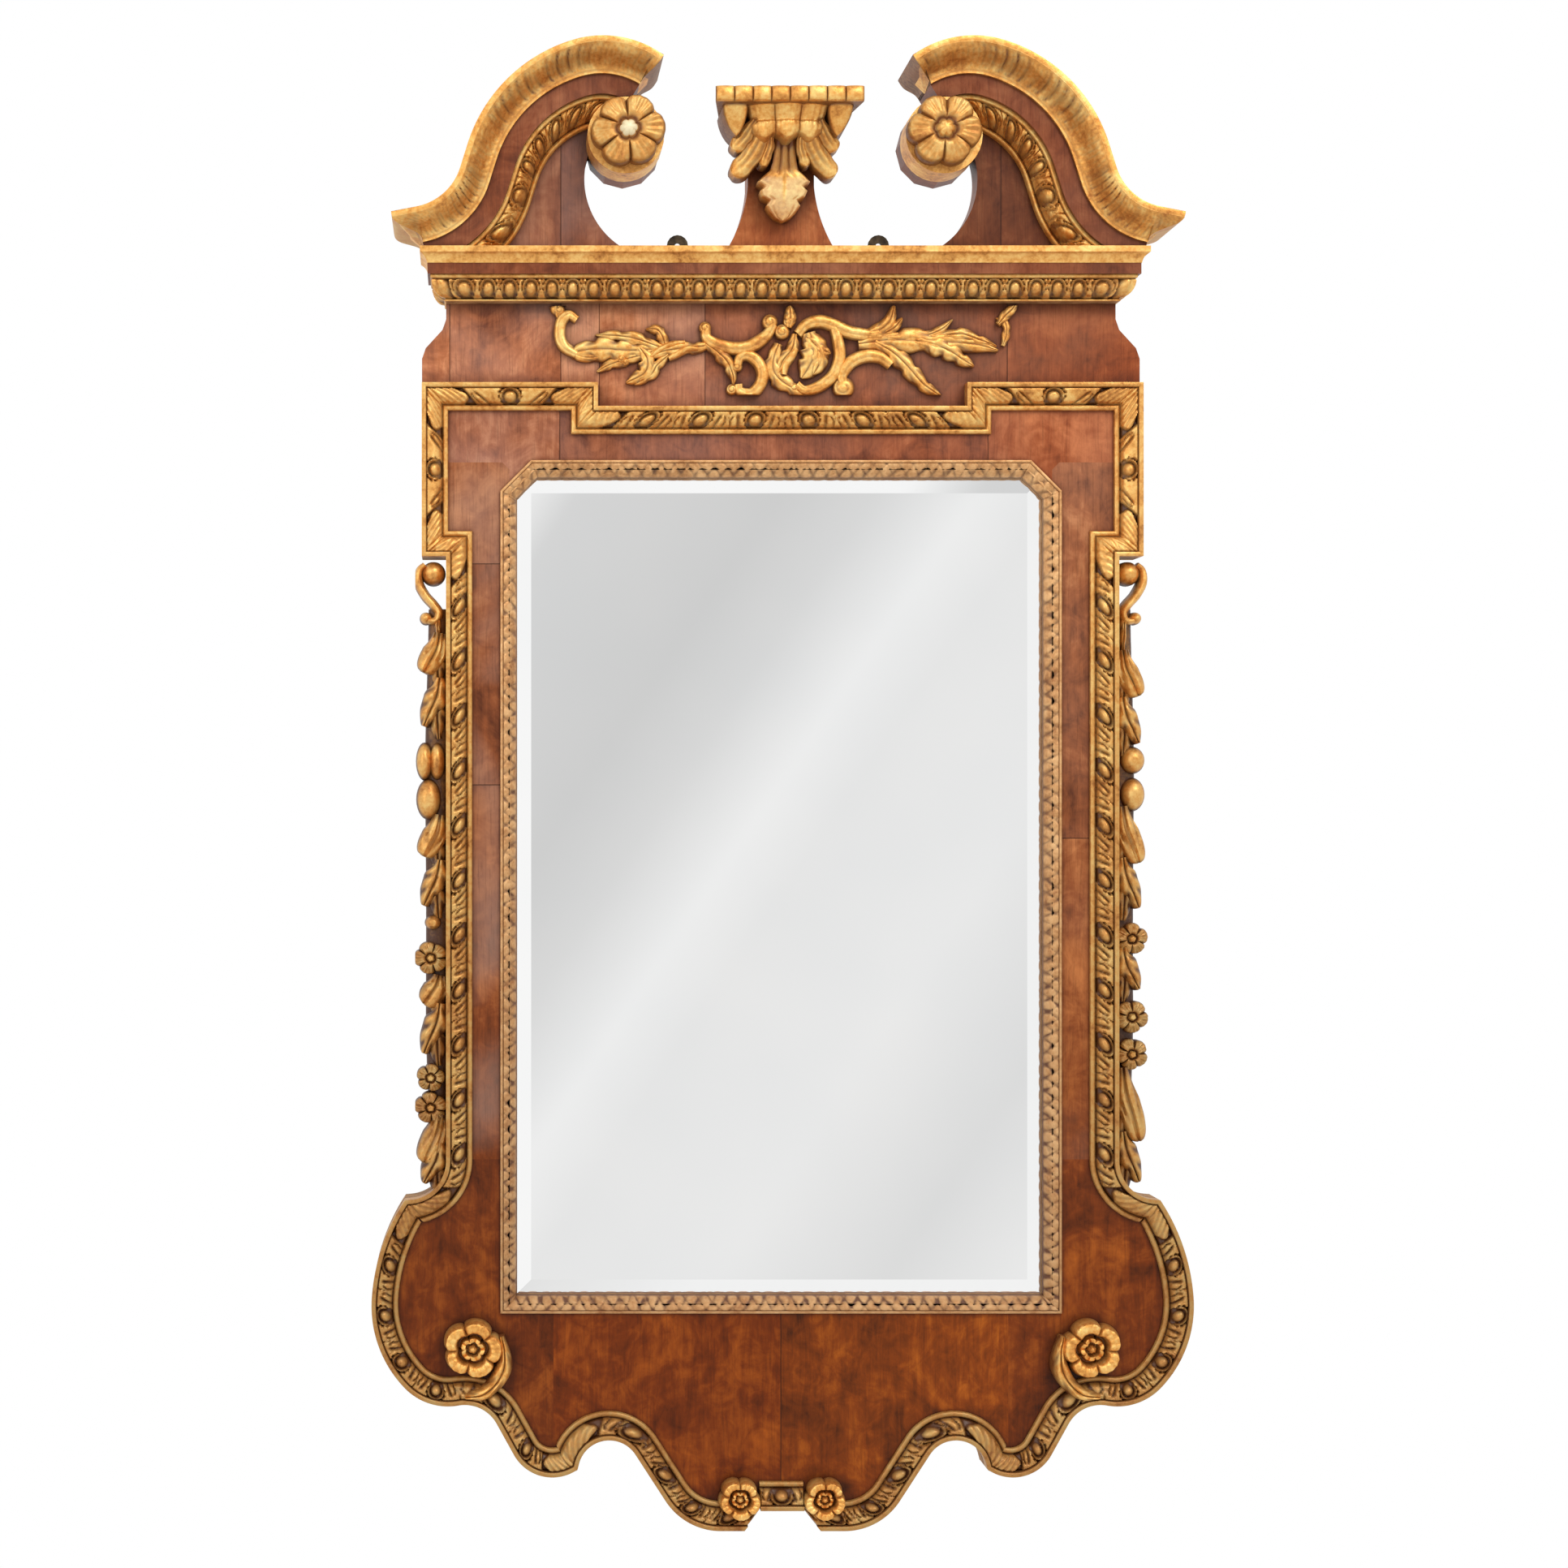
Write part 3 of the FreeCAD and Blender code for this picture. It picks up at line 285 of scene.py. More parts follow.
def walkLine(start, heading, legs, step=1.2):
    # straight runs ("run", length) and tangent arcs ("arc", radius, turn): x, z, heading and distance
    here, angle, along = np.array(start, dtype=float), radians(heading), 0.0
    rows = [np.array([[here[0], here[1], angle, along]])]
    for kind, size, *turns in legs:
        turn = radians(turns[0]) if turns else 0.0
        length = size if kind == "run" else size * abs(turn)
        t = np.linspace(0.0, 1.0, max(2, int(round(length / step)) + 1))[1:]
        angles = angle + turn * t
        if kind == "run":
            places = here + np.outer(t * length, [cos(angle), sin(angle)])
        else:
            side = size * (1 if turn > 0 else -1)
            middle = here + side * np.array([-sin(angle), cos(angle)])
            places = middle + side * np.column_stack([np.sin(angles), -np.cos(angles)])
        rows.append(np.column_stack([places, angles, along + t * length]))
        here, angle, along = places[-1], angle + turn, along + length
    return np.concatenate(rows)


def lineAt(line, s, across):
    # the point at distance s along a line and a distance across it to its right
    inside = np.clip(s, 0.0, line[-1, 3])
    x, z, angle = (np.interp(inside, line[:, 3], line[:, k]) for k in range(3))
    beyond = s - inside
    return (x + np.cos(angle) * beyond + np.sin(angle) * across,
            z + np.sin(angle) * beyond - np.cos(angle) * across)


def spread(line, first, last, skew=45.0):
    # rows along the line, pulled near each end so that each column starts at first and stops at last
    s = line[:, 3][:, None]
    length = line[-1, 3]
    reach = skew if length > 2 * skew else length
    near, far = np.clip(1 - s / reach, 0, 1), np.clip(1 - (length - s) / reach, 0, 1)
    return s + near * first[None] + far * (last[None] - length)


def mitreStart(across, turn):
    # a corner moves each column by its distance across times the tangent of half the turn
    return -across * tan(radians(turn) / 2)


def mitreEnd(line, across, turn):
    # the same at the line's far end
    return line[-1, 3] + across * tan(radians(turn) / 2)


# Carved egg-and-leaf: an outer fillet, a quarter-round with eggs between leaves, and an inner bead

outerMould = {"width": 24.5, "fillet": 4.0, "bead": 5.0, "groove": 1.0, "top": 13.4, "rise": 1.6, "toe": 4.6,
              "depth": 6.0, "least": 1.2, "pitch": 49.5, "eggLong": 6.2, "cornerLeaf": 33.0, "eggShare": 0.4,
              "seed": 3}
neckMould = dict(outerMould, width=22.5, fillet=3.5, bead=4.2, top=26.6, rise=1.4, toe=8.0, depth=6.0,
                 least=4.0, pitch=31.0, eggLong=5.6, cornerLeaf=12.0, eggShare=0.44, seed=5)
corniceMould = dict(outerMould, width=22.5, fillet=3.2, bead=2.0, top=13.4, rise=1.1, toe=1.6, depth=5.0,
                    least=0.4, pitch=19.6, eggLong=4.8, cornerLeaf=10.0, eggShare=0.42, seed=7)


def leavesAndEggs(mould, a, b, r, pitch):
    # how far the carving stands out, 0 to 1: the highest of egg, husk and leaf at a from the egg's middle,
    # b across the band and r from the egg's middle in its own radii
    egg = np.sqrt(np.clip(1 - r ** 2, 0, 1))
    husk = cut(r, 1.45, 0.24) * soft(0.86, 0.55, b)
    aside = pitch / 2 - np.abs(a)  # from the middle of the leaf
    leafHalf = pitch / 2 - mould["eggLong"] * (1.62 - 0.5 * (2 * b - 0.9) ** 2)
    leaf = soft(0.0, 1.3, leafHalf - np.abs(aside) + 0.6 * np.sin(b * 19.0))
    rib = cut(aside, 0.0, 0.8) * soft(0.95, 0.5, b)
    eyelets = cut(np.abs(aside) - 2.2 - 5.0 * np.abs(b - 0.62), 0.0, 0.85) * soft(0.22, 0.4, b)
    # slanting cuts part a long leaf into tongues
    cuts = cut(np.abs(aside) - 8.6 - 4.5 * (b - 0.4), 0.0, 1.5) * soft(0.1, 0.35, b) * soft(
        12.0, 15.0, pitch / 2)
    leaf = leaf * (1.0 - 0.34 * rib - 0.62 * eyelets - 0.1 * wave(aside * 2.4 + b * 5.0)) * (1.0 - 0.7 * cuts)
    return np.maximum(np.maximum(leaf, husk * 0.86), np.maximum(egg * 1.02, 0.1 * soft(1.7, 1.4, r)))


def eggAndLeaf(mould, s, u, first, last, corners):
    # height over the ground and hollows, s along and u across: carving on a quarter round between grooves
    fillet, groove, bead, width = (mould[name] for name in ("fillet", "groove", "bead", "width"))
    top, toe, pitch, cornerLeaf = (mould[name] for name in ("top", "toe", "pitch", "cornerLeaf"))
    bandStart, band = fillet + groove, width - bead - fillet - 2 * groove
    b = np.clip((u - bandStart) / band, 0.0, 1.0)
    quarter = toe + (top - toe) * np.sqrt(1 - b ** 2)
    # a whole number of eggs between the leaves of the corners, or none in a short run
    at = s - first - cornerLeaf * corners[0]
    usable = last - first - cornerLeaf * corners[0] - cornerLeaf * corners[1]
    count = max(int(round(float(np.mean(usable)) / pitch)), 0)
    if count:
        pitch = usable / count
        a = (np.mod(at / pitch, 1.0) - 0.5) * pitch + 0.7 * uneven(s, u, 22.0, mould["seed"])
        inBand = soft(-1.0, 1.0, at) * soft(-1.0, 1.0, usable - at)
    else:
        a, inBand = pitch * 0.5, 0.0
    r = np.hypot(a / mould["eggLong"], (u - bandStart - band * 0.54) / (band * mould["eggShare"]))
    pattern = leavesAndEggs(mould, a, b, r, pitch) * inBand
    # plain leaves folded over the mitred corners
    d = np.minimum(np.where(corners[0], s - first, 1e3), np.where(corners[1], last - s, 1e3))
    reach = cornerLeaf * (0.98 - 0.3 * (1 - np.sin(pi * np.clip(b * 0.9 + 0.1, 0, 1))))
    folded = 1 - 0.3 * cut(d, 2.6, 1.0) - 0.22 * wave(d * 0.95 - b * 6.5) * soft(1.5, 6.0, d)
    pattern = np.clip(np.maximum(pattern, soft(0.0, 2.2, reach - d) * folded), 0, 1.02)
    floor = np.maximum(quarter - mould["depth"] * (0.55 + 0.45 * np.sqrt(1 - b ** 2)), mould["least"])
    carved = floor + (quarter - floor) * pattern
    outer = top + mould["rise"] - 0.8 + 0.8 * hump(u, fillet / 2, fillet * 1.5)
    inner = toe * 0.55 + toe * 0.45 * hump(u, width - bead / 2, bead * 1.02)
    channel = np.maximum(cut(u, fillet + groove / 2, 0.55), cut(u, width - bead - groove / 2, 0.6))
    height = np.where(u <= fillet, outer, np.where(u >= width - bead, inner, carved)) - channel * 1.3
    # the ground between eggs and leaves and the channels darken: brown glaze and painted shade
    hollow = np.where((u > fillet) & (u < width - bead), 1.0 - pattern ** 0.9, 0.12)
    return height, np.clip(np.maximum(hollow, 0.8 * channel), 0, 1)


def acrossSteps(mould):
    # columns across a moulding, close together at its grooves and edges
    w, f, g, b = mould["width"], mould["fillet"], mould["groove"], mould["bead"]
    return np.concatenate([[0.0, 0.5, f * 0.5, f - 0.5, f, f + g / 2, f + g],
                           np.linspace(f + g + 0.9, w - b - g - 0.7, 15),
                           [w - b - g, w - b - g / 2, w - b, w - b * 0.8, w - b * 0.5, w - b * 0.2, w]])


def layMould(carving, front, ground, hollow, flip=False):
    # the carved columns between one column on the ground at each side
    carving.grid(np.concatenate([ground[:, :1], front, ground[:, -1:]], axis=1),
                 np.pad(hollow, ((0, 0), (1, 1))), flip)


def carryMould(carving, mould, line, before=None, after=None, last=None):
    # one length of egg-and-leaf on the face of the frame, between mitred or given ends
    u = acrossSteps(mould)
    first = mitreStart(u, before or 0.0)
    last = mitreEnd(line, u, after or 0.0) if last is None else last
    s = spread(line, first, last)
    corners = (before is not None, after is not None)
    height, hollow = eggAndLeaf(mould, s, u[None] + 0.0 * s, first[None], last[None], corners)
    x, z = lineAt(line, s, u[None])
    layMould(carving, placesOf(x, height, z), placesOf(x, 0.0, z), hollow)


# The outline of the frame from the middle of the crest round the right half to the middle of the apron
outline = {
    "crest": -157.3, "stepOffset": 172.0, "stepRise": 22.1, "shoulder": 336.0, "shoulderDrop": 161.8,
    "side": 313.4,
    "sideLegs": [("run", 563.6), ("arc", 36.0, 85.0), ("run", 5.5)],
    "earTurn": -51.5,
    "earLegs": [("arc", 188.0, -29.5), ("arc", 110.0, -48.0), ("arc", 56.0, -56.0), ("arc", 34.0, 71.0),
                ("run", 33.0), ("arc", 41.0, -88.5), ("run", 5.0)],
    "cuspTurn": -48.0,
    "archLegs": [("run", 6.0), ("arc", 29.0, 132.5), ("run", 51.5), ("arc", 61.5, -57.0), ("run", 22.0)],
    "notchTurn": -51.0, "notchRun": 24.0,
}


def outlineRuns():
    # each run of the right half: its line, and the turns of the corners at its ends
    o = outline
    table = [("crest", [("run", o["stepOffset"])], 90.0), ("step", [("run", o["stepRise"])], -90.0),
             ("head", [("run", o["shoulder"] - o["stepOffset"])], -90.0),
             ("drop", [("run", o["shoulderDrop"])], -90.0),
             ("foot", [("run", o["shoulder"] - o["side"])], 90.0),
             ("side", o["sideLegs"], o["earTurn"]), ("ear", o["earLegs"], o["cuspTurn"]),
             ("arch", o["archLegs"], o["notchTurn"]), ("notch", [("run", o["notchRun"])], -o["notchTurn"])]
    found, here, heading, before = {}, (0.0, o["crest"]), 0.0, None
    for name, legs, after in table:
        line = walkLine(here, heading, legs)
        found[name] = (line, before, after)
        here, before = line[-1, :2], after
        heading = np.degrees(line[-1, 2]) + after
    return found


def makeOuterMouldings(gilt):
    # every run of the right half, and its mirror image on the left
    runs = outlineRuns()
    half, slot = outline["stepOffset"], "gilt_moulding"
    crest = Carving()
    carryMould(crest, outerMould, walkLine((-half, outline["crest"]), 0.0, [("run", 2 * half)]), 90.0, 90.0)
    crest.finish("crest", slot, "crest_moulding", gilt)
    for side in ("right", "left"):
        for part, names in (("_shoulder", ("step", "head", "drop", "foot")), ("_side", ("side",))):
            piece = Carving()
            for name in names:
                carryMould(piece, outerMould, *runs[name])
            piece.finish(side + part, slot, side + part + "_moulding", gilt, side == "left")
    ears = Carving()
    carryMould(ears, outerMould, *runs["ear"])
    ears.addTwin()
    ears.finish("ears", slot, "ear_mouldings", gilt)
    # the arches stop on the mitre of the apron's middle length, and not past its corner
    arches = Carving()
    line, before, after = runs["arch"]
    corner = runs["notch"][0][-1, :2]
    last = line[-1, 3] + np.minimum(acrossSteps(outerMould) / tan(radians(-after)), line[-1, 0] - corner[0])
    carryMould(arches, outerMould, line, before, None, last)
    arches.addTwin()
    arches.finish("apron", slot, "apron_mouldings", gilt)
    middle = Carving()
    carryMould(middle, outerMould, walkLine(corner, 180.0, [("run", 2 * corner[0])]))
    middle.finish("apron_middle", slot, "apron_centre_moulding", gilt)
    print("outer mouldings carved")


# Gilt slip round the glass: a bead, then a hollow cut with small overlapping leaves

slip = {"width": 15.3, "bead": 2.2, "proud": 3.0, "inner": -12.0, "back": -14.0, "inset": 8.6,
        "leafPitch": 12.4, "halfWidth": 262.6, "top": -206.2, "bottom": -1004.6, "cant": 28.67, "skew": 24.0,
        "seed": 11}


def slipSurface(s, u):
    # two slanting waves crossed part the hollow into worn leaves, and the hollow falls round to the glass
    bead, proud, inner, pitch = (slip[name] for name in ("bead", "proud", "inner", "leafPitch"))
    b = np.clip((u - bead) / (slip["width"] - bead), 0, 1)
    base = proud - 0.4 + (inner - proud) * (1 - np.sqrt(1 - b ** 2)) ** 0.85
    drift = 2.8 * uneven(s, u, 9.0, slip["seed"])
    one = np.abs(np.sin(pi * ((s + drift) / pitch + 0.8 * b)))
    two = np.abs(np.sin(pi * ((s - drift) / pitch - 0.8 * b + 0.3)))
    lump = np.clip((one * two) ** 0.6 + 0.4 * uneven(s, u, 1.8, slip["seed"] + 1) + 0.14, 0, 1)
    lump = lump * soft(0.0, 0.08, b) * soft(1.0, 0.9, b)
    height = np.where(u <= bead, proud - 0.7 + 0.7 * hump(u, bead / 2, bead * 1.05),
                      np.clip(base - 1.4 + 1.7 * lump, inner, proud))
    hollow = np.where(u <= bead, 0.0, np.clip(0.8 - 1.15 * lump, 0, 1))
    return height, np.maximum(hollow, 0.5 * cut(u, bead + 0.4, 0.4))


def carrySlip(carving, start, end, before, after):
    # one length of slip, mitred at both ends
    along, up = end[0] - start[0], end[1] - start[1]
    line = walkLine(start, np.degrees(atan2(up, along)), [("run", hypot(along, up))], 1.0)

    def laid(across):
        s = spread(line, mitreStart(across, before), mitreEnd(line, across, after), slip["skew"])
        return s, lineAt(line, s, across[None])

    # columns across, close together at the bead
    u = np.concatenate([[0.0, 0.5, 1.1, 1.7, 2.2, 2.6, 3.2], np.linspace(3.9, 14.4, 17), [14.9, 15.3]])
    s, (x, z) = laid(u)
    height, hollow = slipSurface(s, u[None] + 0.0 * s)
    # down the sight edge to the glass, along the rebate, and up the veneer's edge
    sBack, (xBack, zBack) = laid(np.array([slip["width"], slip["inset"], slip["inset"], 0.0]))
    behind = placesOf(xBack, np.array([slip["back"], slip["back"], 0.0, 0.0]), zBack)
    carving.grid(np.concatenate([placesOf(x, height, z), behind], axis=1),
                 np.concatenate([hollow, 0.0 * sBack], axis=1))


def makeSlips(gilt):
    # six straight lengths round the glass, the two cants at the top going with the top length
    w, t, b, c = slip["halfWidth"], slip["top"], slip["bottom"], slip["cant"]
    corners = [(c - w, t), (w - c, t), (w, t - c), (w, b), (-w, b), (-w, t - c)]
    turns = [-45.0, -45.0, -45.0, -90.0, -90.0, -45.0]
    for name, sides in (("top", (5, 0, 1)), ("right", (2,)), ("bottom", (3,)), ("left", (4,))):
        piece = Carving()
        for k in sides:
            carrySlip(piece, corners[k], corners[(k + 1) % 6], turns[k], turns[(k + 1) % 6])
        piece.finish("sight_" + name, "gilt_moulding", "sight_moulding_" + name, gilt)
    print("sight slips carved")


# Egg-and-leaf of the cornice, along the front and back along both ends to the wall

cornice = {"half": 313.4, "ground": 12.0, "top": -37.0, "skew": 30.0}


def makeCorniceOvolo(gilt):
    # side -1 is the left end, 0 the front and 1 the right end, each run from the left as it is seen
    half, ground, skew = cornice["half"], cornice["ground"], cornice["skew"]
    u = acrossSteps(corniceMould)
    piece = Carving()
    for side in (-1, 0, 1):
        run = ground - wall if side else 2 * half
        s = walkLine((0.0, 0.0), 0.0, [("run", run)])[:, 3][:, None] + 0.0 * u[None]
        corners = (side != -1, side != 1)
        height, hollow = eggAndLeaf(corniceMould, s, u[None] + 0.0 * s, 0.0, run, corners)
        # each row slides out with its height so that the corners are mitred
        pull = np.clip(1 - (run - s) / skew, 0, 1) * corners[1] - np.clip(1 - s / skew, 0, 1) * corners[0]
        faces = []
        for h in (height, 0.0 * height):
            along = s + pull * h
            x, f = ((along - half, ground + h), (half + h, ground - along), (-half - h, wall + along))[side]
            faces.append(placesOf(x, f, cornice["top"] - u[None]))
        layMould(piece, *faces, hollow)
    piece.finish("cornice_ovolo", "gilt_moulding", "cornice_ovolo", gilt)
    print("cornice carved")


# Swan necks: the ribbed crown moulding on top, and egg-and-leaf below the walnut band

neck = {"start": (334.5, -9.2), "heading": 169.0,
        "legs": [("arc", 80.0, -61.5), ("run", 23.0), ("arc", 116.5, 56.0), ("arc", 67.0, 48.0)],
        "fascia": 18.0, "corniceTop": -12.5, "boss": (147.0, 90.0), "bossRadius": 35.5}
crown = {"height": 28.0, "foot": 36.0, "projection": 24.0, "lip": 5.0, "toe": 3.0, "returnShare": 0.3,
         "ribPitch": 9.0, "leafPitch": 92.0, "skew": 30.0, "seed": 21}


def crownSurface(s, c, ribs=1.0):
    # a cyma from the toe up to the lip (a rising line less a sine), cut with slanting ribs that come and go,
    # finer ribs between them, and the wide folds of broad leaves
    height, lip, toe, projection, pitch, seed = (
        crown[name] for name in ("height", "lip", "toe", "projection", "ribPitch", "seed"))
    b = np.clip((c - toe) / (height - lip - toe), 0, 1)
    base = projection * (b - np.sin(2 * pi * b) / (2 * pi) * 0.75)
    slant = s + 3.5 * np.sin(pi * b) + 2.2 * uneven(s, c, 26.0, seed) + 3.0 * uneven(s, 0 * c, 17.0, seed + 3)
    groove = (1 - np.abs(np.sin(pi * slant / pitch))) ** 2.4
    groove = groove * soft(-0.35, 0.35, uneven(s, c, 30.0, seed + 2)) * soft(
        -1.0, 0.1, uneven(s, c, 7.0, seed + 4))
    fine = (1 - np.abs(np.sin(pi * (slant + 2.0 * uneven(s, c, 9.0, seed + 5)) / (pitch * 0.47)))) ** 1.6
    folds = 1 - np.abs(np.sin(pi * slant / (crown["leafPitch"] / 2))) ** 0.5
    lows = 0.5 - 0.5 * uneven(s, c, 5.0, seed + 1)
    inside = soft(0.0, 0.16, b) * soft(1.0, 0.86, b) * ribs
    carved = base - inside * (2.4 * groove + 1.4 * folds + 1.3 * lows + 0.7 * fine)
    rounded = projection - 0.5 + 0.5 * hump(c, height - lip / 2, lip * 1.1)
    hollow = inside * np.clip(0.85 * groove + 0.35 * folds ** 2.2 + 0.2 * lows + 0.3 * fine, 0, 1)
    hollow = np.maximum(hollow, np.maximum(0.3 * cut(c, height - lip - 0.4, 0.6), 0.4 * cut(c, toe, 1.0)))
    return np.where(c >= height - lip, rounded, np.clip(carved, 0.0, projection)), np.clip(hollow, 0, 1)


def makeCrowns(gilt):
    # columns up the face, close together at its toe and lip
    c = np.concatenate([[0.0, 1.2, 2.4, 3.0, 3.8], np.linspace(5.0, 22.0, 16),
                        [22.6, 23.0, 23.5, 25.0, 26.8, 27.6, 28.0]])
    line = walkLine(neck["start"], neck["heading"], neck["legs"], 1.3)
    length, share, foot = line[-1, 3], crown["returnShare"], crown["foot"]
    base = crownSurface(np.zeros((1, len(c))), c[None], 0.0)[0][0]
    s = spread(line, -base, length + share * base, crown["skew"])
    height, hollow = crownSurface(s, c[None] + 0.0 * s)
    # the ribs fade at the mitres
    fade = np.clip(np.minimum(s + base, length + share * base - s) / 6.0, 0, 1)
    x, z = lineAt(line, s, c[None])
    front = placesOf(x, foot + base + (height - base) * fade, z)
    edges = [-1, 0]
    sBack = spread(line, -base[edges], length + share * base[edges], crown["skew"])
    xBack, zBack = lineAt(line, sBack, c[edges][None])
    piece = Carving()
    piece.grid(np.concatenate([front, placesOf(xBack, 0.0, zBack)], axis=1),
               np.concatenate([hollow, 0.0 * sBack], axis=1))
    # returns at both ends, running back to the wall with the same profile; painted shade darkens their faces,
    # the upper return's most
    for k, out, dark in ((0, -1.0, 0.35), (-1, share, 0.85)):
        x, z, angle = line[k, :3]
        t = np.linspace(0, 1, 60)[:, None]
        depth = (foot + base)[None] * (1 - t) + wall * t
        down = np.append(c, c[edges])
        forward = np.append(base, [0.0, 0.0]) * out
        piece.grid(placesOf(x + down * sin(angle) + forward * cos(angle),
                            np.concatenate([depth, depth[:, edges]], axis=1),
                            z - down * cos(angle) + forward * sin(angle)), dark, flip=(k == 0))
    piece.addTwin()
    piece.finish("crown", "gilt_moulding", "crown_mouldings", gilt)
    print("crowns carved")


def makeNeckMouldings(gilt):
    # the egg-and-leaf under the walnut band, from the cornice up to the scroll boss
    line = walkLine(neck["start"], neck["heading"], neck["legs"])
    u = acrossSteps(neckMould)
    across, along = -(neck["fascia"] + u)[None], line[:, 3]
    x, z = lineAt(line, along[:, None], across)
    first = along[np.argmax(z > neck["corniceTop"], axis=0)]
    near = np.hypot(x - neck["boss"][0], z - neck["boss"][1]) < neck["bossRadius"] - 2.0
    last = along[np.where(near.any(axis=0), np.argmax(near, axis=0), -1)]
    s = first + (last - first) * np.linspace(0, 1, 230)[:, None]
    height, hollow = eggAndLeaf(neckMould, s, u[None] + 0.0 * s, first[None], last[None], (False, False))
    x, z = lineAt(line, s, across)
    piece = Carving()
    layMould(piece, placesOf(x, height, z), placesOf(x, 0.0, z), hollow, flip=True)
    piece.addTwin()
    piece.finish("neck_moulding", "gilt_moulding", "swan_mouldings", gilt)
    print("neck mouldings carved")


# Leaves and scrolls: a raised strip carried along a smooth line, closed behind

def smoothLine(points, count):
    # smooth curve through given points, spaced evenly, and its length: cubic stretches whose slope at
    # each point is half the step between its neighbours
    p = np.asarray(points, dtype=float)
    p = np.concatenate([[2 * p[0] - p[1]], p, [2 * p[-1] - p[-2]]])
    k = np.repeat(np.arange(len(p) - 3), 24)
    t = np.tile(np.linspace(0, 1, 24, endpoint=False), len(p) - 3)[:, None]
    a, b, c, d = p[k], p[k + 1], p[k + 2], p[k + 3]
    curve = 0.5 * (2 * b + (c - a) * t + (2 * a - 5 * b + 4 * c - d) * t ** 2
                   + (3 * b - a - 3 * c + d) * t ** 3)
    curve = np.concatenate([curve, p[-2:-1]])
    length = np.concatenate([[0], np.cumsum(np.linalg.norm(np.diff(curve, axis=0), axis=1))])
    even = np.linspace(0, length[-1], count)
    return np.stack([np.interp(even, length, curve[:, k]) for k in range(p.shape[1])], -1), length[-1]


def ribbon(middle, half):
    # x and z across a middle line: its own points plus the half widths along its normal
    way = np.gradient(middle, axis=0)
    way /= np.linalg.norm(way, axis=1)[:, None] + 1e-9
    side = np.stack([way[:, 1], -way[:, 0]], -1)
    places = middle[:, None, :] + side[:, None, :] * half[..., None]
    return places[..., 0], places[..., 1]


def stripSection(kind, t, w, lobes, seed):
    # height from 0 to 1 and hollows of a strip: a dome across w, less its ribs, veins and folds
    out = np.abs(w)
    if kind == "leaf":
        veins = wave(2 * pi * (t * max(lobes, 3) - out * 0.7) + seed)
        height = (0.32 + 0.68 * domed(w, 2.4) - 0.2 * cut(w, 0, 0.13)
                  - 0.17 * veins * out ** 0.7 * domed(w, 2.4))
        hollow = 0.75 * cut(w, 0, 0.12) + 0.8 * veins ** 2 * soft(0.2, 0.6, out) + 0.9 * soft(0.78, 1.0, out)
    elif kind == "blade":
        # a sunk rib and two soft folds beside it
        folds = cut(out, 0.6 + 0.15 * np.sin(t * 5 + seed), 0.13) * soft(0.95, 0.5, t)
        height = 0.3 + 0.7 * domed(w, 2.6) - 0.22 * cut(w, 0.1 * np.sin(seed), 0.14) - 0.16 * folds
        hollow = 0.6 * cut(w, 0.1 * np.sin(seed), 0.1) * soft(1.0, 0.6, t) + 0.35 * folds
        hollow = hollow + 0.9 * soft(0.8, 1.0, out) + 0.5 * soft(0.2, 0.0, t) + 0.5 * soft(0.93, 1.0, t)
    elif kind == "strap":
        height = 0.35 + 0.65 * domed(w, 2.4) - 0.1 * cut(w, 0.25, 0.2)
        hollow = 0.75 * soft(0.72, 1.0, out) + 0.25 * cut(w, 0.25, 0.2)
    else:
        height = 0.25 + 0.75 * domed(w, 2)
        hollow = 0.8 * soft(0.7, 1.0, out)
    return np.clip(height, 0.12, 1.05), hollow


def carveStrip(carving, points, width, proud, kind="leaf", lobes=0, back=0.0, taper=(0.35, 0.05), seed=1,
               shade=0.0):
    # points are x, z of the middle line; width is the widest, proud the height over the back. The width
    # swells from the first taper, ends at the second, and lobes bite into it
    rows = int(np.clip(np.sum(np.linalg.norm(np.diff(points, axis=0), axis=1)) / 1.1, 14, 120))
    middle, length = smoothLine(points, rows)
    t, w = sheet(rows, 15)
    swell, end = {"blade": (0.5, (1 - t ** 6) ** 0.5), "leaf": (0.42, (1 - t ** 2.6) ** 0.7)}.get(
        kind, (0.3, soft(1, 0.7, t)))
    envelope = (taper[0] + (1 - taper[0]) * soft(0, swell, t)) * (taper[1] + (1 - taper[1]) * end)
    half = width / 2 * envelope
    if lobes:
        tooth = np.mod(t * lobes + 0.12 * np.sign(w), 1.0)
        half = half * (1 - 0.3 * soft(0.55, 1.0, tooth) - 0.3 * soft(0.18, 0.0, tooth))
    height, hollow = stripSection(kind, t, w, lobes, seed)
    height = back + (proud - 0.25 * proud * (1 - envelope)) * height
    height = height + 0.25 * uneven(t * length, w * width, 3.0, seed)
    x, z = ribbon(middle, half * w)
    # shade darkens the whole strip as painted shade
    carving.relief(placesOf(x, height, z), np.clip(hollow + shade, 0, 1), back)


def carveKnob(carving, x, z, radius, back, proud, spiral=0.0, squash=1.0):
    # half ball on the ground, with a spiral groove where it is the eye of a scroll
    a = np.linspace(0, 2 * pi, 28, endpoint=False)[None]
    t = np.linspace(0, pi / 2, 13)[:, None]
    r = np.sin(t)
    turn = np.mod(a / (2 * pi) + r * 1.6, 1.0)
    groove = spiral * cut(turn, 0.5, 0.16) * soft(0.12, 0.3, r) * soft(1.0, 0.8, r)
    height = proud * (0.2 + 0.8 * np.cos(t)) - 0.26 * proud * groove
    front = placesOf(x + radius * r * np.cos(a), back + height, z + radius * squash * r * np.sin(a))
    carving.disc(front, np.clip(groove + soft(0.75, 1.0, r), 0, 1), back)


# Flowers: broad petals round a button

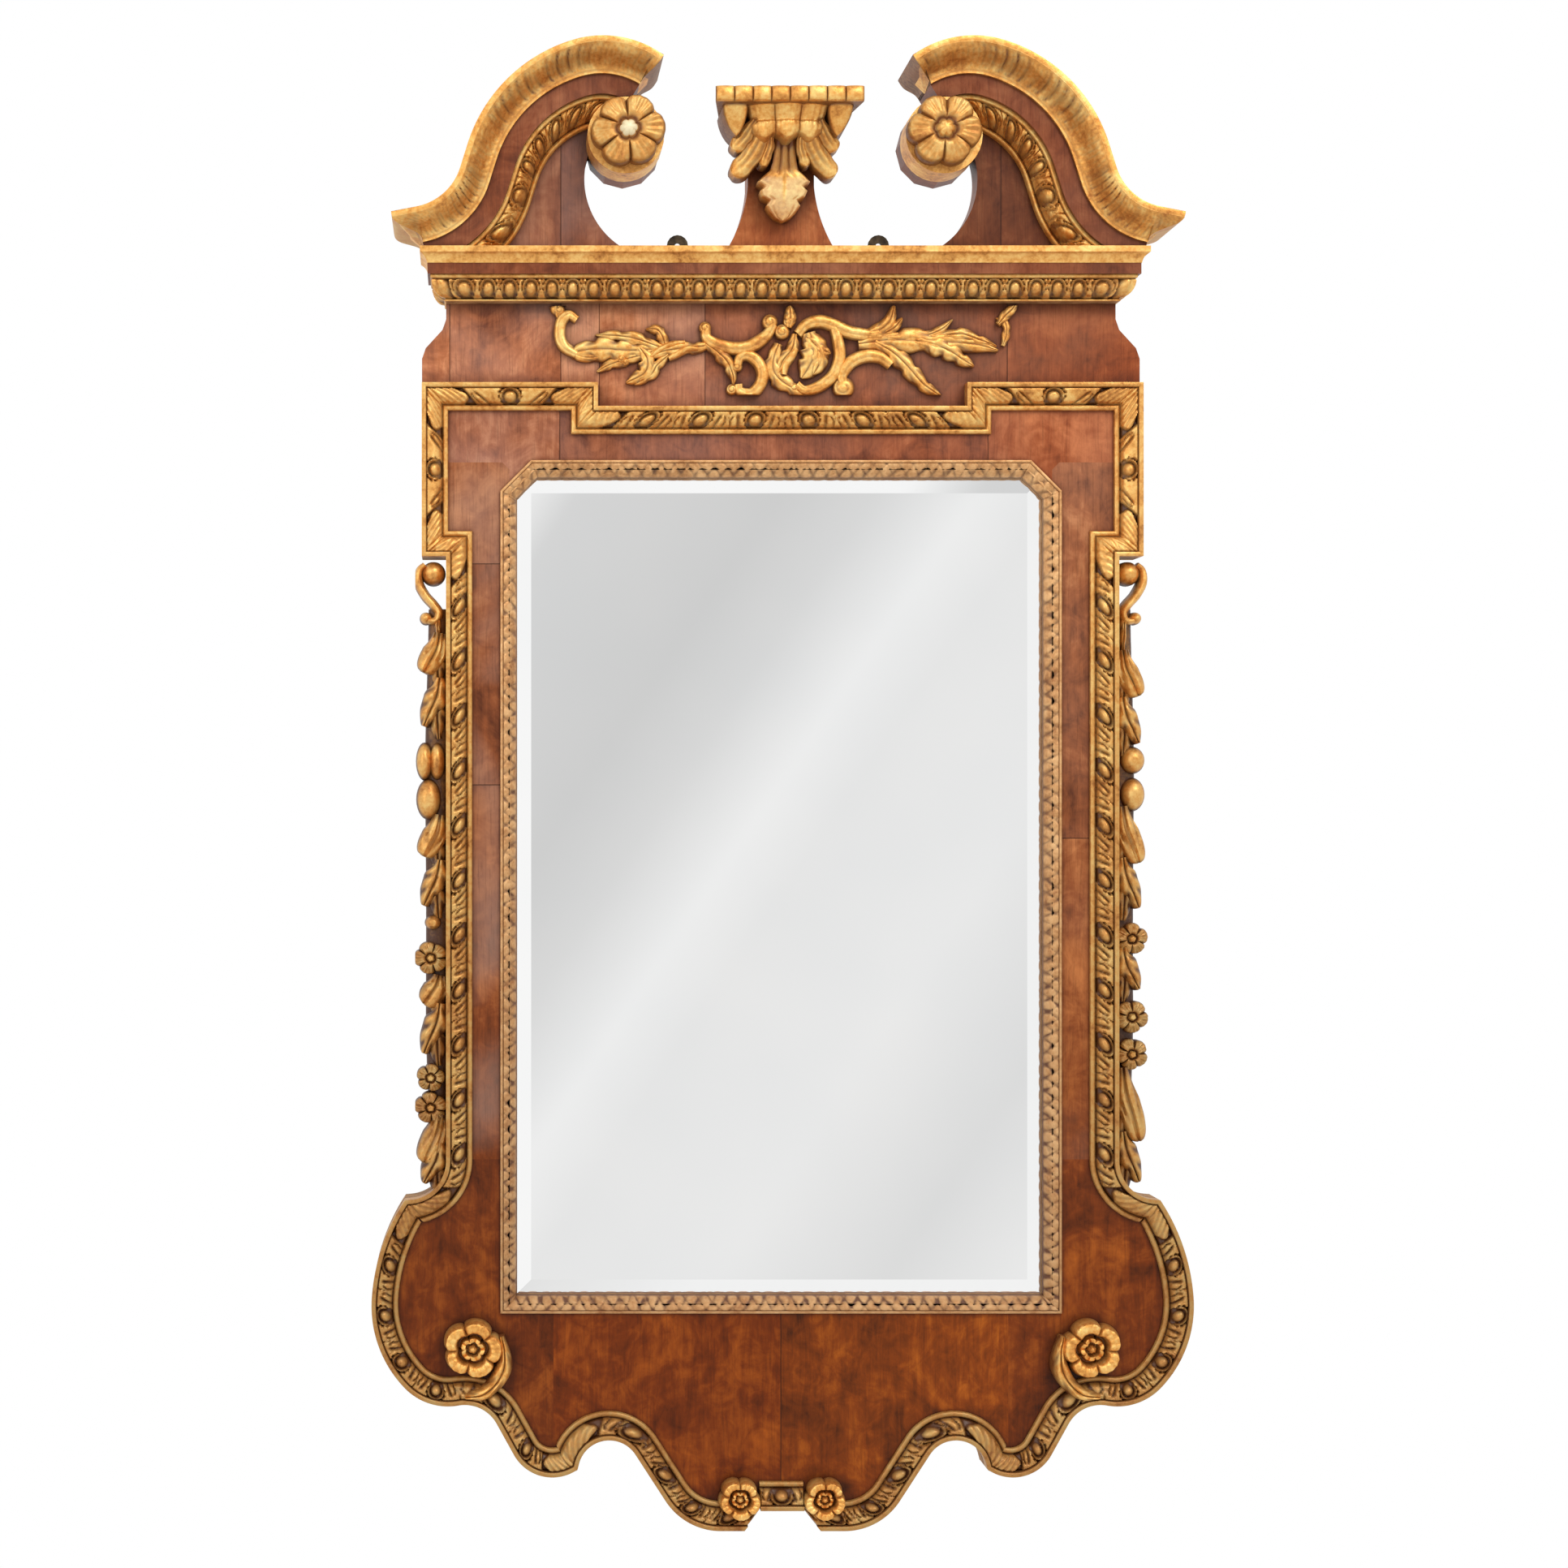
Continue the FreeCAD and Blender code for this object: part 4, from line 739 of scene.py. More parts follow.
def roseSection(flower, t, inPetal, gap, veins, dome):
    # outer round curls over, a dark ring, a small inner round, then the button in its cup
    outer = soft(0.44, 0.6, t) * (0.75 + 0.25 * hump(t, 0.78, 0.5)) * soft(1.06, 0.9, t)
    between = np.sin(pi * np.mod(inPetal + 0.5, 1.0)) ** 0.5
    inner = 0.78 * soft(0.18, 0.26, t) * soft(0.47, 0.38, t) * (0.8 + 0.2 * between)
    bowl = np.maximum(np.maximum(outer, inner), 0.3)
    height = flower["proud"] * np.clip(bowl - 0.25 * gap + veins, 0.1, 1.0)
    hollow = 0.95 * cut(t, 0.48, 0.07) + 0.8 * cut(t, 0.2, 0.05) + 0.6 * gap + 0.7 * soft(0.95, 1.0, t)
    return height, hollow, flower["proud"] * (0.35 + 0.5 * dome), 0.15


def rosetteSection(flower, t, inPetal, gap, veins, dome):
    # cupped petals, each lapped over the next, that fall at their ends, and a proud button
    proud, button = flower["proud"], flower["button"] / flower["radius"]
    cup = 0.07 * cut(inPetal, 0.5, 0.16) * cut(t, 0.68, 0.2)
    lap = 0.16 * (inPetal - 0.5) * soft(0.35, 0.8, t)
    bowl = 0.66 + 0.34 * np.sin(pi * np.clip(t * 0.93 + 0.02, 0, 1)) ** 0.6 - 0.24 * soft(0.5, 0.1, t)
    height = proud * np.clip(bowl - cup + lap - 0.2 * gap + veins - 0.16 * soft(0.94, 1.0, t), 0.1, 1.0)
    hollow = 0.26 + 0.75 * gap + 0.75 * cut(t, button * 1.14, 0.06) + 0.6 * soft(0.96, 1.0, t)
    # painted shade: the petals darken a little towards the button
    hollow = hollow + 0.12 * soft(0.5, 0.2, t)
    cap = np.maximum(proud * 0.62 + (proud * 0.38 + flower["buttonProud"]) * dome, height)
    return height, hollow, cap, 0.0


def carveFlower(carving, flower, x, z, back, pale=0.0):
    # polar grid: t runs from the middle to the petals' ends, and inPetal from 0 to 1 across each petal
    a = np.linspace(0, 2 * pi, 24 * flower["petals"], endpoint=False)[None]
    t = np.concatenate([np.linspace(0.0, 0.94, 30), [0.98, 1.0]])[:, None]
    inPetal = np.mod((a - flower["turn"]) / (2 * pi) * flower["petals"], 1.0)
    edge = flower["radius"] * (0.79 + 0.2 * np.sin(pi * inPetal) ** 0.5) * (1 + 0.025 * np.sin(a * 2 + 1.0))
    gap = cut(np.minimum(inPetal, 1 - inPetal), 0.0, 0.045) * soft(0.25, 0.6, t)
    veins = 0.03 * np.cos(inPetal * 2 * pi * 5) * soft(0.4, 0.7, t)
    button = flower["button"] / flower["radius"]
    dome = np.sqrt(np.clip(1 - (t / button) ** 2, 0, 1))
    section = rosetteSection if "buttonProud" in flower else roseSection
    height, hollow, cap, shade = section(flower, t, inPetal, gap, veins, dome)
    height = np.where(t < button, cap, height)
    hollow = np.where(t < button * 0.92, shade - pale, np.clip(hollow, 0, 1))
    carving.disc(placesOf(x + t * edge * np.cos(a), back + height, z + t * edge * np.sin(a)), hollow, back)


# a flower with a buttonProud is a rosette, and one without it a rose
rosette = {"radius": 34.0, "petals": 6, "turn": 0.45, "proud": 20.0, "button": 9.5, "buttonProud": 4.6,
           "place": (145.5, 92.0), "back": 34.0}
volute = {"radius": 28.4, "petals": 5, "turn": 1.2, "proud": 21.5, "button": 4.6, "place": (288.5, -1036.0),
          "tail": [(-27, 12), (-29.5, -2), (-29, -17), (-22, -31), (-9, -42), (7, -44)]}
baseFlower = {"radius": 20.0, "petals": 5, "turn": 0.3, "proud": 21.5, "button": 4.0,
              "place": (39.5, -1176.0)}


def makeFlowers(gilt):
    # the rosettes differ by one bare button; the other flowers are twins
    piece = Carving()
    x, z = rosette["place"]
    carveFlower(piece, rosette, x, z, rosette["back"])
    # only the left-hand button has lost its gold
    carveFlower(piece, dict(rosette, turn=pi - rosette["turn"]), -x, z, rosette["back"], pale=1.0)
    piece.finish("rosettes", "gilt_carving", "rosettes", gilt)
    for name, flower in (("base_flowers", baseFlower), ("volute_flowers", volute)):
        piece = Carving()
        x, z = flower["place"]
        carveFlower(piece, flower, x, z, 0.0)
        if "tail" in flower:
            tail = [(x + across, z + up) for across, up in flower["tail"]]
            carveStrip(piece, tail, 17.0, 20.5, back=0.2, taper=(0.3, 0.4), seed=4)
        piece.addTwin()
        piece.finish(name, "gilt_carving", name, gilt)
    print("flowers carved")


# Frieze spray, an uneven run of leaves and C-scrolls, placed by the photograph

friezeSpray = {
    "front": 5.0, "reach": 232.0, "gauge": 1.22,
    # how thin each kind starts and ends
    "tapers": {"leaf": (0.5, 0.12), "strap": (0.75, 0.75), "round": (0.75, 0.75)},
    # pixels along the middle of each piece, width and height in mm, kind, lobes; the low ones come first
    "strips": [
        ([(690, 362), (689, 376), (690, 392)], 14.0, 5.5, "leaf", 2),
        ([(713, 394), (703, 388), (694, 396), (692, 414), (698, 428), (712, 437)], 9.0, 7.6, "strap", 0),
        ([(694, 408), (700, 428), (722, 440), (752, 438)], 10.0, 6.0, "leaf", 2),
        ([(706, 434), (740, 430), (780, 432), (812, 430)], 22.0, 6.8, "leaf", 4),
        ([(820, 430), (786, 418), (762, 414), (736, 413)], 13.0, 7.4, "leaf", 3),
        ([(822, 428), (818, 414), (810, 406), (798, 406)], 11.0, 7.4, "leaf", 2),
        ([(800, 436), (776, 442), (752, 450), (738, 458)], 12.0, 5.6, "leaf", 3),
        ([(790, 428), (800, 444), (796, 460), (774, 472)], 16.0, 7.8, "leaf", 3),
        ([(826, 438), (812, 450), (804, 462), (784, 474)], 11.0, 7.0, "leaf", 3),
        ([(800, 440), (816, 434), (838, 430), (862, 428), (882, 424)], 14.0, 7.2, "leaf", 3),
        ([(804, 440), (816, 430), (830, 424), (846, 422)], 5.0, 8.4, "round", 0),
        ([(826, 442), (838, 436), (848, 430), (862, 430)], 6.0, 8.4, "round", 0),
        ([(872, 405), (873, 416), (884, 424), (904, 429), (926, 427), (946, 414), (955, 400)],
         10.5, 8.4, "strap", 0),
        ([(872, 424), (886, 434), (898, 446), (905, 462), (906, 474)], 12.0, 8.0, "leaf", 3),
        ([(911, 450), (914, 441), (924, 438), (936, 446), (942, 460), (939, 474), (928, 485), (914, 482),
          (912, 474)], 9.5, 8.4, "strap", 0),
        ([(962, 424), (955, 444), (958, 462), (978, 478), (1000, 484)], 17.0, 6.4, "leaf", 4),
        ([(974, 404), (976, 392), (975, 376)], 11.0, 8.0, "leaf", 0),
        ([(982, 412), (978, 430), (966, 446), (962, 460)], 12.0, 7.4, "leaf", 2),
        ([(985, 412), (996, 400), (1014, 396), (1032, 402), (1048, 409), (1066, 412), (1088, 412)],
         10.5, 8.2, "strap", 0),
        ([(1026, 396), (1034, 416), (1037, 440), (1029, 462), (1012, 476), (994, 481), (984, 474)],
         9.5, 8.0, "strap", 0),
        ([(1000, 410), (1006, 432), (1000, 450), (990, 466)], 26.0, 7.6, "leaf", 3),
        ([(996, 416), (1008, 428), (1012, 446), (1004, 462)], 18.0, 8.4, "leaf", 2),
        ([(1004, 424), (1016, 432), (1026, 436)], 12.0, 8.0, "leaf", 2),
        ([(983, 430), (977, 440), (970, 450), (968, 462)], 7.0, 8.4, "round", 0),
        ([(1042, 474), (1040, 462), (1050, 447), (1068, 439), (1086, 440), (1100, 450)],
         10.5, 7.6, "strap", 0),
        ([(1060, 414), (1082, 409), (1098, 396), (1104, 376)], 13.0, 8.4, "leaf", 0),
        ([(1090, 412), (1104, 404), (1114, 392)], 9.0, 7.6, "leaf", 0),
        ([(1078, 414), (1110, 416), (1140, 414), (1162, 406), (1176, 394)], 12.0, 6.6, "leaf", 3),
        ([(1060, 424), (1100, 419), (1150, 421), (1200, 424), (1232, 432)], 22.0, 7.2, "leaf", 4),
        ([(1130, 420), (1166, 430), (1186, 442), (1202, 452)], 18.0, 8.2, "leaf", 4),
        ([(1150, 416), (1184, 412), (1206, 418), (1230, 427)], 12.0, 7.8, "leaf", 3),
        ([(1080, 422), (1104, 436), (1124, 456), (1140, 474), (1162, 489)], 16.0, 8.0, "leaf", 4),
        ([(1238, 426), (1243, 410), (1240, 396), (1230, 392)], 8.0, 5.0, "leaf", 2),
        ([(1232, 400), (1240, 390), (1250, 380), (1256, 368)], 9.0, 7.6, "leaf", 0),
    ],
    # balls and scroll eyes: pixels, radius and height in mm
    "knobs": [(692, 382, 5.0, 6.6), (871, 404, 6.0, 8.6), (951, 397, 7.6, 8.8), (904, 480, 5.4, 7.0),
              (911, 452, 5.0, 7.4), (913, 480, 4.4, 7.2), (966, 409, 7.4, 8.4), (981, 478, 5.0, 7.0),
              (1042, 478, 10.4, 8.0), (974, 397, 5.4, 8.0), (773, 446, 4.0, 8.0), (768, 442, 4.6, 8.2)],
}


def makeFriezeSpray(gilt):
    # strips and knobs at their pixels, seen at the depth of the carving's front
    piece, front, gauge = Carving(), friezeSpray["front"], friezeSpray["gauge"]
    for k, (pixels, width, proud, kind, lobes) in enumerate(friezeSpray["strips"]):
        carveStrip(piece, fromPhoto(pixels, front), width * gauge, proud, kind, lobes,
                   taper=friezeSpray["tapers"][kind], seed=k)
    for px, py, radius, proud in friezeSpray["knobs"]:
        x, z = fromPhoto((px, py), front)
        carveKnob(piece, x, z, radius, 0.0, proud, spiral=0.5)
    piece.keepInside("frieze_carving", friezeSpray["reach"])
    piece.finish("frieze_spray", "gilt_carving", "frieze_carving", gilt)
    print("frieze spray carved")


# Side drops of leaves, fruit and flowers, hanging beside the side lengths

drop = {
    "edge": 313.4, "reach": 342.3, "back": -13.0, "proud": 21.5,
    # kind, and how far its top and foot lie below z = 0
    "right": [
        ("scroll", 301.0, 352.0), ("dart", 350.0, 392.0), ("leaf", 386.0, 434.0), ("leaf", 430.0, 478.0),
        ("fruit", 474.0, 500.0), ("fruit", 503.0, 535.0), ("leaf", 532.0, 590.0), ("leaf", 580.0, 632.0),
        ("flower", 640.0, 668.0), ("leaf", 664.0, 708.0), ("flower", 712.0, 742.0), ("flower", 748.0, 776.0),
        ("leaf", 776.0, 850.0), ("leaf", 836.0, 888.0),
    ],
    "left": [
        ("scroll", 301.0, 352.0), ("dart", 350.0, 396.0), ("leaf", 370.0, 412.0), ("leaf", 412.0, 462.0),
        ("pair", 470.0, 506.0), ("fruit", 504.0, 543.0), ("leaf", 540.0, 584.0), ("leaf", 582.0, 630.0),
        ("ball", 632.0, 646.0), ("flower", 652.0, 692.0), ("leaf", 690.0, 722.0), ("leaf", 716.0, 768.0),
        ("flower", 772.0, 796.0), ("flower", 798.0, 826.0), ("leaf", 820.0, 870.0), ("leaf", 846.0, 889.0),
    ],
}


def carveDrop(piece, steps):
    # x0 by the moulding, x1 outermost; every step is laid over one long stem
    x0, x1, proud = drop["edge"], drop["reach"], drop["proud"]
    middle, wide = (x0 + x1) / 2, x1 - x0
    # x and radius of the balls, as shares of the width
    balls = {"fruit": [(x1 - 12.5, wide * 0.41)], "pair": [(x0 + 8.5, wide * 0.27), (x1 - 8.5, wide * 0.28)],
             "ball": [(middle - 2, wide * 0.27)]}
    stem = [(x0 + 7, -345.0), (x0 + 8, -480.0), (x0 + 7, -640.0), (x0 + 8, -880.0)]
    # the stem, seen only between the steps, is darkened with painted shade
    carveStrip(piece, stem, 24.0, 9.0, "round", back=drop["back"], taper=(0.8, 0.6), shade=0.8)
    for k, (kind, top, foot) in enumerate(steps):
        length, top, foot = foot - top, -top, -foot
        # no two pieces share one plane at the back
        back = drop["back"] + 0.3 + 0.17 * k
        if kind == "scroll":
            # a strap that starts by the moulding, arches over a ball and ends below in a small curl
            strap = [(x1 - 9, top - 3), (x1 - 4, top - 8), (x1 - 3, top - 19), (x1 - 9, top - 31),
                     (x0 + 12, top - 40), (x0 + 7, foot + 3), (x0 + 10, foot - 4), (x0 + 18, foot - 4)]
            carveStrip(piece, strap, 9.5, 19.0, "round", back=back, taper=(0.75, 0.75))
            carveKnob(piece, x0 + 12, top - 11, 11.5, back, proud)
            carveKnob(piece, x0 + 19, foot - 2, 6.0, back, 20.0)
        elif kind == "dart":
            carveStrip(piece, [(x0 + 8, top + 8), (x0 + 7, foot)], 8.0, 17.0, back=back, seed=k)
        elif kind == "leaf":
            # one broad leaf swinging outwards over another that stays by the moulding, the one beneath
            # darkened with painted shade
            outer = [(x0 + 6, top + 2), (x0 + 9, top - length * 0.3), (middle + 1, top - length * 0.6),
                     (x1 - 8, foot + 7)]
            inner = [(x0 + 9, top - 2), (x0 + 9, top - length * 0.5), (x0 + 7, foot - 5)]
            carveStrip(piece, inner, 20.0, 15.0, "leaf", 2, back, (0.6, 0.4), k, shade=0.3)
            carveStrip(piece, outer, 25.0, proud, "leaf" if k % 2 else "blade", k % 2, back + 0.08,
                       (0.55, 0.3), k + 20)
        elif kind == "flower":
            bloom = {"radius": min(length / 2, wide / 2) + 1.5, "petals": 5, "turn": 0.4 + k, "proud": 19.0,
                     "button": 4.0, "buttonProud": 2.4}
            carveFlower(piece, bloom, middle, (top + foot) / 2, back)
        else:
            for x, radius in balls[kind]:
                carveKnob(piece, x, (top + foot) / 2, radius, back, proud, squash=length / 2 / radius)


def makeDrops(gilt):
    # both are carved on the right, and the left one is then mirrored
    for side in ("right", "left"):
        piece = Carving()
        carveDrop(piece, drop[side])
        piece.keepInside("right_drop")
        piece.finish(side + "_drop", "gilt_carving", side + "_drop", gilt, side == "left")
    print("side drops carved")


# Console: a beaded shelf on an acanthus bracket

console = {"top": 125.0, "under": 111.0, "halfWidth": 67.5, "backHalf": 54.0, "front": 78.0, "beads": 8,
           "beadProud": 5.5, "fluteFoot": 81.0,
           # the middle leaf from the dark hollow under the flutes to its tip: z, f, half width
           "middleLeaf": [(92, 36, 9), (84, 33, 9.5), (74, 31, 10), (66, 29, 11), (59, 27, 13), (54, 26, 19),
                          (49, 24, 24.5), (45, 23.5, 18), (41, 22.5, 22), (36, 21.5, 20), (32.5, 20, 13),
                          (28, 18, 16), (23, 15.5, 12.5), (18, 12, 7.5), (15, 10, 1)],
           # side leaves: x, z, f along the middle, width
           "sideLeaves": [([(20, 97, 50), (24, 84, 38), (31, 72, 31), (40, 62, 26), (48, 56, 22)], 19.0),
                          ([(30, 98, 50), (37, 89, 39), (43, 82, 33), (48, 77, 29)], 15.0),
                          ([(15, 92, 42), (15, 80, 34), (18, 70, 30), (20, 62, 27)], 11.0)],
           # x of the middle, top, foot, half width and front
           "shell": (48.5, 111.0, 86.0, 11.5, 62.0)}


def carveShelf(piece):
    # slab with its front edge as a row of barrel beads, narrower at the wall
    half, back, top, under = (console[name] for name in ("halfWidth", "backHalf", "top", "under"))
    x = np.linspace(-half, half, 193)[:, None]
    barrel = np.sin(pi * np.mod((x + half) / (2 * half / console["beads"]), 1.0)) ** 0.3
    a = np.linspace(pi / 2, -pi / 2, 13)[None]
    reach = console["front"] - console["beadProud"]
    f = reach + console["beadProud"] * np.cos(a) ** 0.7 * (0.25 + 0.75 * barrel)
    z = (top + under) / 2 + (top - under) / 2 * np.sin(a) * (0.93 + 0.07 * barrel)
    above, edgeTop, edgeUnder, below = (
        placesOf(x * wide, depth, level) for wide, depth, level in (
            (back / half, wall, top), (1.0, reach - 1.5, top),
            (1.0, reach - 1.5, under), (back / half, wall, under)))
    # painted shade: dark between the beads, on the top and under faces (0.75, 0.9) and on the ends
    dark = np.broadcast_to(np.clip(0.95 - barrel * 1.1, 0, 1), f.shape)
    hollow = np.pad(np.pad(dark, ((0, 0), (2, 0)), constant_values=0.75),
                    ((0, 0), (0, 2)), constant_values=0.9)
    hollow[[0, -1]] = 1.0
    piece.grid(np.concatenate([above, edgeTop, placesOf(x, f, z), edgeUnder, below], axis=1), hollow)


def carveFlutes(piece):
    # three broad flutes under the shelf that bulge and turn under at their feet
    t, u = sheet(44, 85)
    half = 37.5 - 9.0 * t + 2.0 * hump(t, 0.8, 0.5)
    flute = np.abs(np.cos(1.5 * pi * u)) ** 0.55
    drape = t + 0.1 * np.cos(3 * pi * u) * soft(0.5, 1.0, t)
    z = console["under"] + 0.5 - (console["under"] - console["fluteFoot"]) * drape
    lie = 62.0 - 16.0 * t ** 0.8 + 5.0 * hump(t, 0.74, 0.6)
    turned = soft(0.86, 1.0, t)
    f = (lie + 5.0 * flute * (1 - 0.35 * u ** 2) - 7.0 * u ** 2) * (1 - 0.45 * turned)
    ripple = 0.35 * np.cos(u * 40.0) * soft(1.0, 0.5, t)
    # glaze and painted shade in the troughs, and painted shade where the feet turn under
    hollow = 0.6 * (1 - flute) ** 2.0 + 0.8 * turned + 0.3 * soft(0.86, 1.0, np.abs(u))
    piece.relief(placesOf(half * u, f + ripple, z), np.clip(hollow, 0, 1), 2.0)


def carveMiddleLeaf(piece):
    # a grooved stem that opens into a bright three-lobed tip
    table = np.array(console["middleLeaf"], dtype=float)
    t = np.linspace(0, len(table) - 1, 90)
    z, f, half = (np.interp(t, np.arange(len(table)), table[:, k])[:, None] for k in range(3))
    u = np.linspace(-1, 1, 41)[None]
    opened = soft(62.0, 48.0, z)
    ribs = np.abs(np.cos(1.5 * pi * u)) ** 0.7
    stem = 2.6 * ribs * domed(u, 2.6)
    tip = 5.2 * domed(u, 2.6) - 1.3 * cut(u, 0, 0.1) * soft(20.0, 40.0, z)
    tip = tip - np.cos(u * 9.0) ** 2 * soft(0.25, 0.8, np.abs(u))
    height = f + 1.0 + stem * (1 - opened) + opened * tip
    # painted shade in the hollow under the flutes, about z 86
    hollow = (1 - opened) * (0.45 + 0.5 * (1 - ribs)) + 0.9 * cut(z, 86.0, 7.0)
    hollow = hollow + opened * (0.4 * cut(u, 0, 0.07) * soft(24.0, 44.0, z) - 0.3)
    hollow = np.clip(hollow + 0.5 * soft(0.93, 1.0, np.abs(u)), -0.3, 1)
    piece.relief(placesOf(half * u, height, z), hollow, 0.0)


def carveSideLeaf(piece, points, width, seed):
    # a blunt leaf with grooves along it, whose middle line also rises and falls
    t, w = sheet(56, 25)
    middle = smoothLine(points, 56)[0]
    blunt = np.where(t > 0.72, np.sqrt(np.clip(1 - ((t - 0.72) / 0.29) ** 4, 0, 1)), 1.0)
    half = width / 2 * (0.6 + 0.4 * soft(0, 0.5, t)) * blunt
    half = np.maximum(half * (1 + 0.05 * np.sin(t * 21.0 + seed)), 0.2)
    grooves = wave(w * pi * 3 + 0.4 * np.sin(t * 5 + seed))
    height = (5.5 - 1.2 * grooves * soft(1.0, 0.7, t)) * domed(w, 2.4, 0.55)
    hollow = 0.55 * grooves * soft(1.0, 0.6, t) + 0.8 * soft(0.88, 1.0, np.abs(w)) + 0.4 * soft(0.25, 0.0, t)
    x, z = ribbon(middle[:, :2], half * w)
    rise = middle[:, 2:]
    piece.relief(placesOf(x, rise + height, z), np.clip(hollow, 0, 1), np.maximum(rise - 18.0, 0.0))


def carveShell(piece, side):
    # smooth pointed oval hanging from the end of the shelf
    x, top, foot, half, front = console["shell"]
    t, u = sheet(30, 25)
    wide = half * np.maximum(1 - t ** 1.9, 0.001) ** 0.75
    f = front - 12.0 * t + 7.0 * np.sqrt(1 - u ** 2) * (1 - 0.6 * t) - 4.0
    hollow = 0.85 * soft(0.82, 1.0, np.abs(u)) + 0.9 * cut(t, 0.0, 0.05)
    piece.relief(placesOf(side * (x - 2.0 * t) + wide * u, f, top - (top - foot) * t),
                 np.clip(hollow, 0, 1), 4.0)


def makeConsole(gilt):
    # the shelf is one piece; flutes, leaves and shells are the other
    shelf = Carving()
    carveShelf(shelf)
    shelf.finish("console_shelf", "gilt_carving", "console_platform", gilt)
    bracket = Carving()
    carveFlutes(bracket)
    carveMiddleLeaf(bracket)
    for k, (points, width) in enumerate(console["sideLeaves"]):
        carveSideLeaf(bracket, points, width, k)
        carveSideLeaf(bracket, [(-x, z, f) for x, z, f in points], width, k + 3)
    for side in (-1, 1):
        carveShell(bracket, side)
    bracket.keepInside("console_bracket")
    bracket.finish("console_bracket", "gilt_carving", "console_bracket", gilt)
    print("console carved")


# Walnut at the top and the bottom of the frame: dark, middle and light of the figure
walnut = {"upper": [(92, 44, 26), (150, 84, 52), (196, 128, 88)],
          "lower": [(56, 22, 5), (112, 48, 12), (164, 84, 28)],
          "stops": (0.44, 0.62, 0.82), "bloom": (156, 124, 112), "pore": (44, 18, 8), "dirtAndShade": (34, 15, 8),
          # what a veneer has where its own row says nothing
          "change": (1.0, 1.0, 1.0), "grey": 0.0, "across": "X", "joints": (), "book": False}

# Each veneer: the grain's turn, the stain and how it changes to the right, the share of grey bloom, the shift
# of the figure, the joints' places in mm across X or Z, and whether the two halves are book-matched
acrossGrain, uprightGrain = pi / 2, 0.0
veneers = {
    "frieze": dict(turn=acrossGrain, warmth=(1.66, 1.9, 2.0), change=(0.64, 0.42, 0.28), grey=0.35,
                   shift=(0.0, 0.0, 0.0), joints=(-310, -206, -170, -71, 212)),
    "rail": dict(turn=acrossGrain, warmth=(1.36, 1.6, 1.9), change=(0.92, 0.68, 0.5), grey=0.2,
                 shift=(0.3, 0.0, 0.2), joints=(-207, 194), pieces=["top_rail_veneer"]),
    "left_stile": dict(turn=acrossGrain, warmth=(1.24, 1.34, 1.3), grey=0.5, shift=(0.7, 0.0, 0.1),
                       across="Z", joints=(-510, -303)),
    "right_stile": dict(turn=acrossGrain, warmth=(1.42, 1.62, 1.6), grey=0.1, shift=(0.1, 0.0, 0.9),
                        across="Z", joints=(-560,)),
    "left_ear": dict(turn=0.5, warmth=(1.08, 1.1, 1.0), shift=(0.4, 0.0, 0.4)),
    "right_ear": dict(turn=-0.5, warmth=(1.24, 1.28, 1.15), shift=(0.6, 0.0, 0.3)),
    "left_apron": dict(turn=0.6, warmth=(1.18, 1.12, 0.85), change=(0.9, 0.85, 0.5), shift=(0.9, 0.0, 0.6),
                       joints=(0,), book=True),
    "right_apron": dict(turn=0.6, warmth=(1.0, 0.95, 0.5), change=(1.75, 2.0, 2.6), shift=(0.9, 0.0, 0.6),
                        joints=(0,), book=True),
    "left_pediment": dict(turn=0.8, warmth=(0.98, 1.1, 1.24), grey=0.4, shift=(0.2, 0.0, 0.7),
                          joints=(-206,)),
    "right_pediment": dict(turn=0.8, warmth=(0.6, 0.58, 0.52), grey=0.1, shift=(0.2, 0.0, 0.7),
                           joints=(206,)),
    "plinth": dict(turn=0.4, warmth=(1.2, 1.12, 0.84), grey=0.1, shift=(0.8, 0.0, 0.2),
                   pieces=["plinth_board"]),
    "bands": dict(turn=0.6, warmth=(0.84, 0.76, 0.7), change=(0.9, 0.85, 0.8), grey=0.2,
                  shift=(0.5, 0.0, 0.5),
                  pieces=["left_crown_fascia", "right_crown_fascia", "cornice_fascia", "left_pediment_board",
                          "right_pediment_board"]),
}


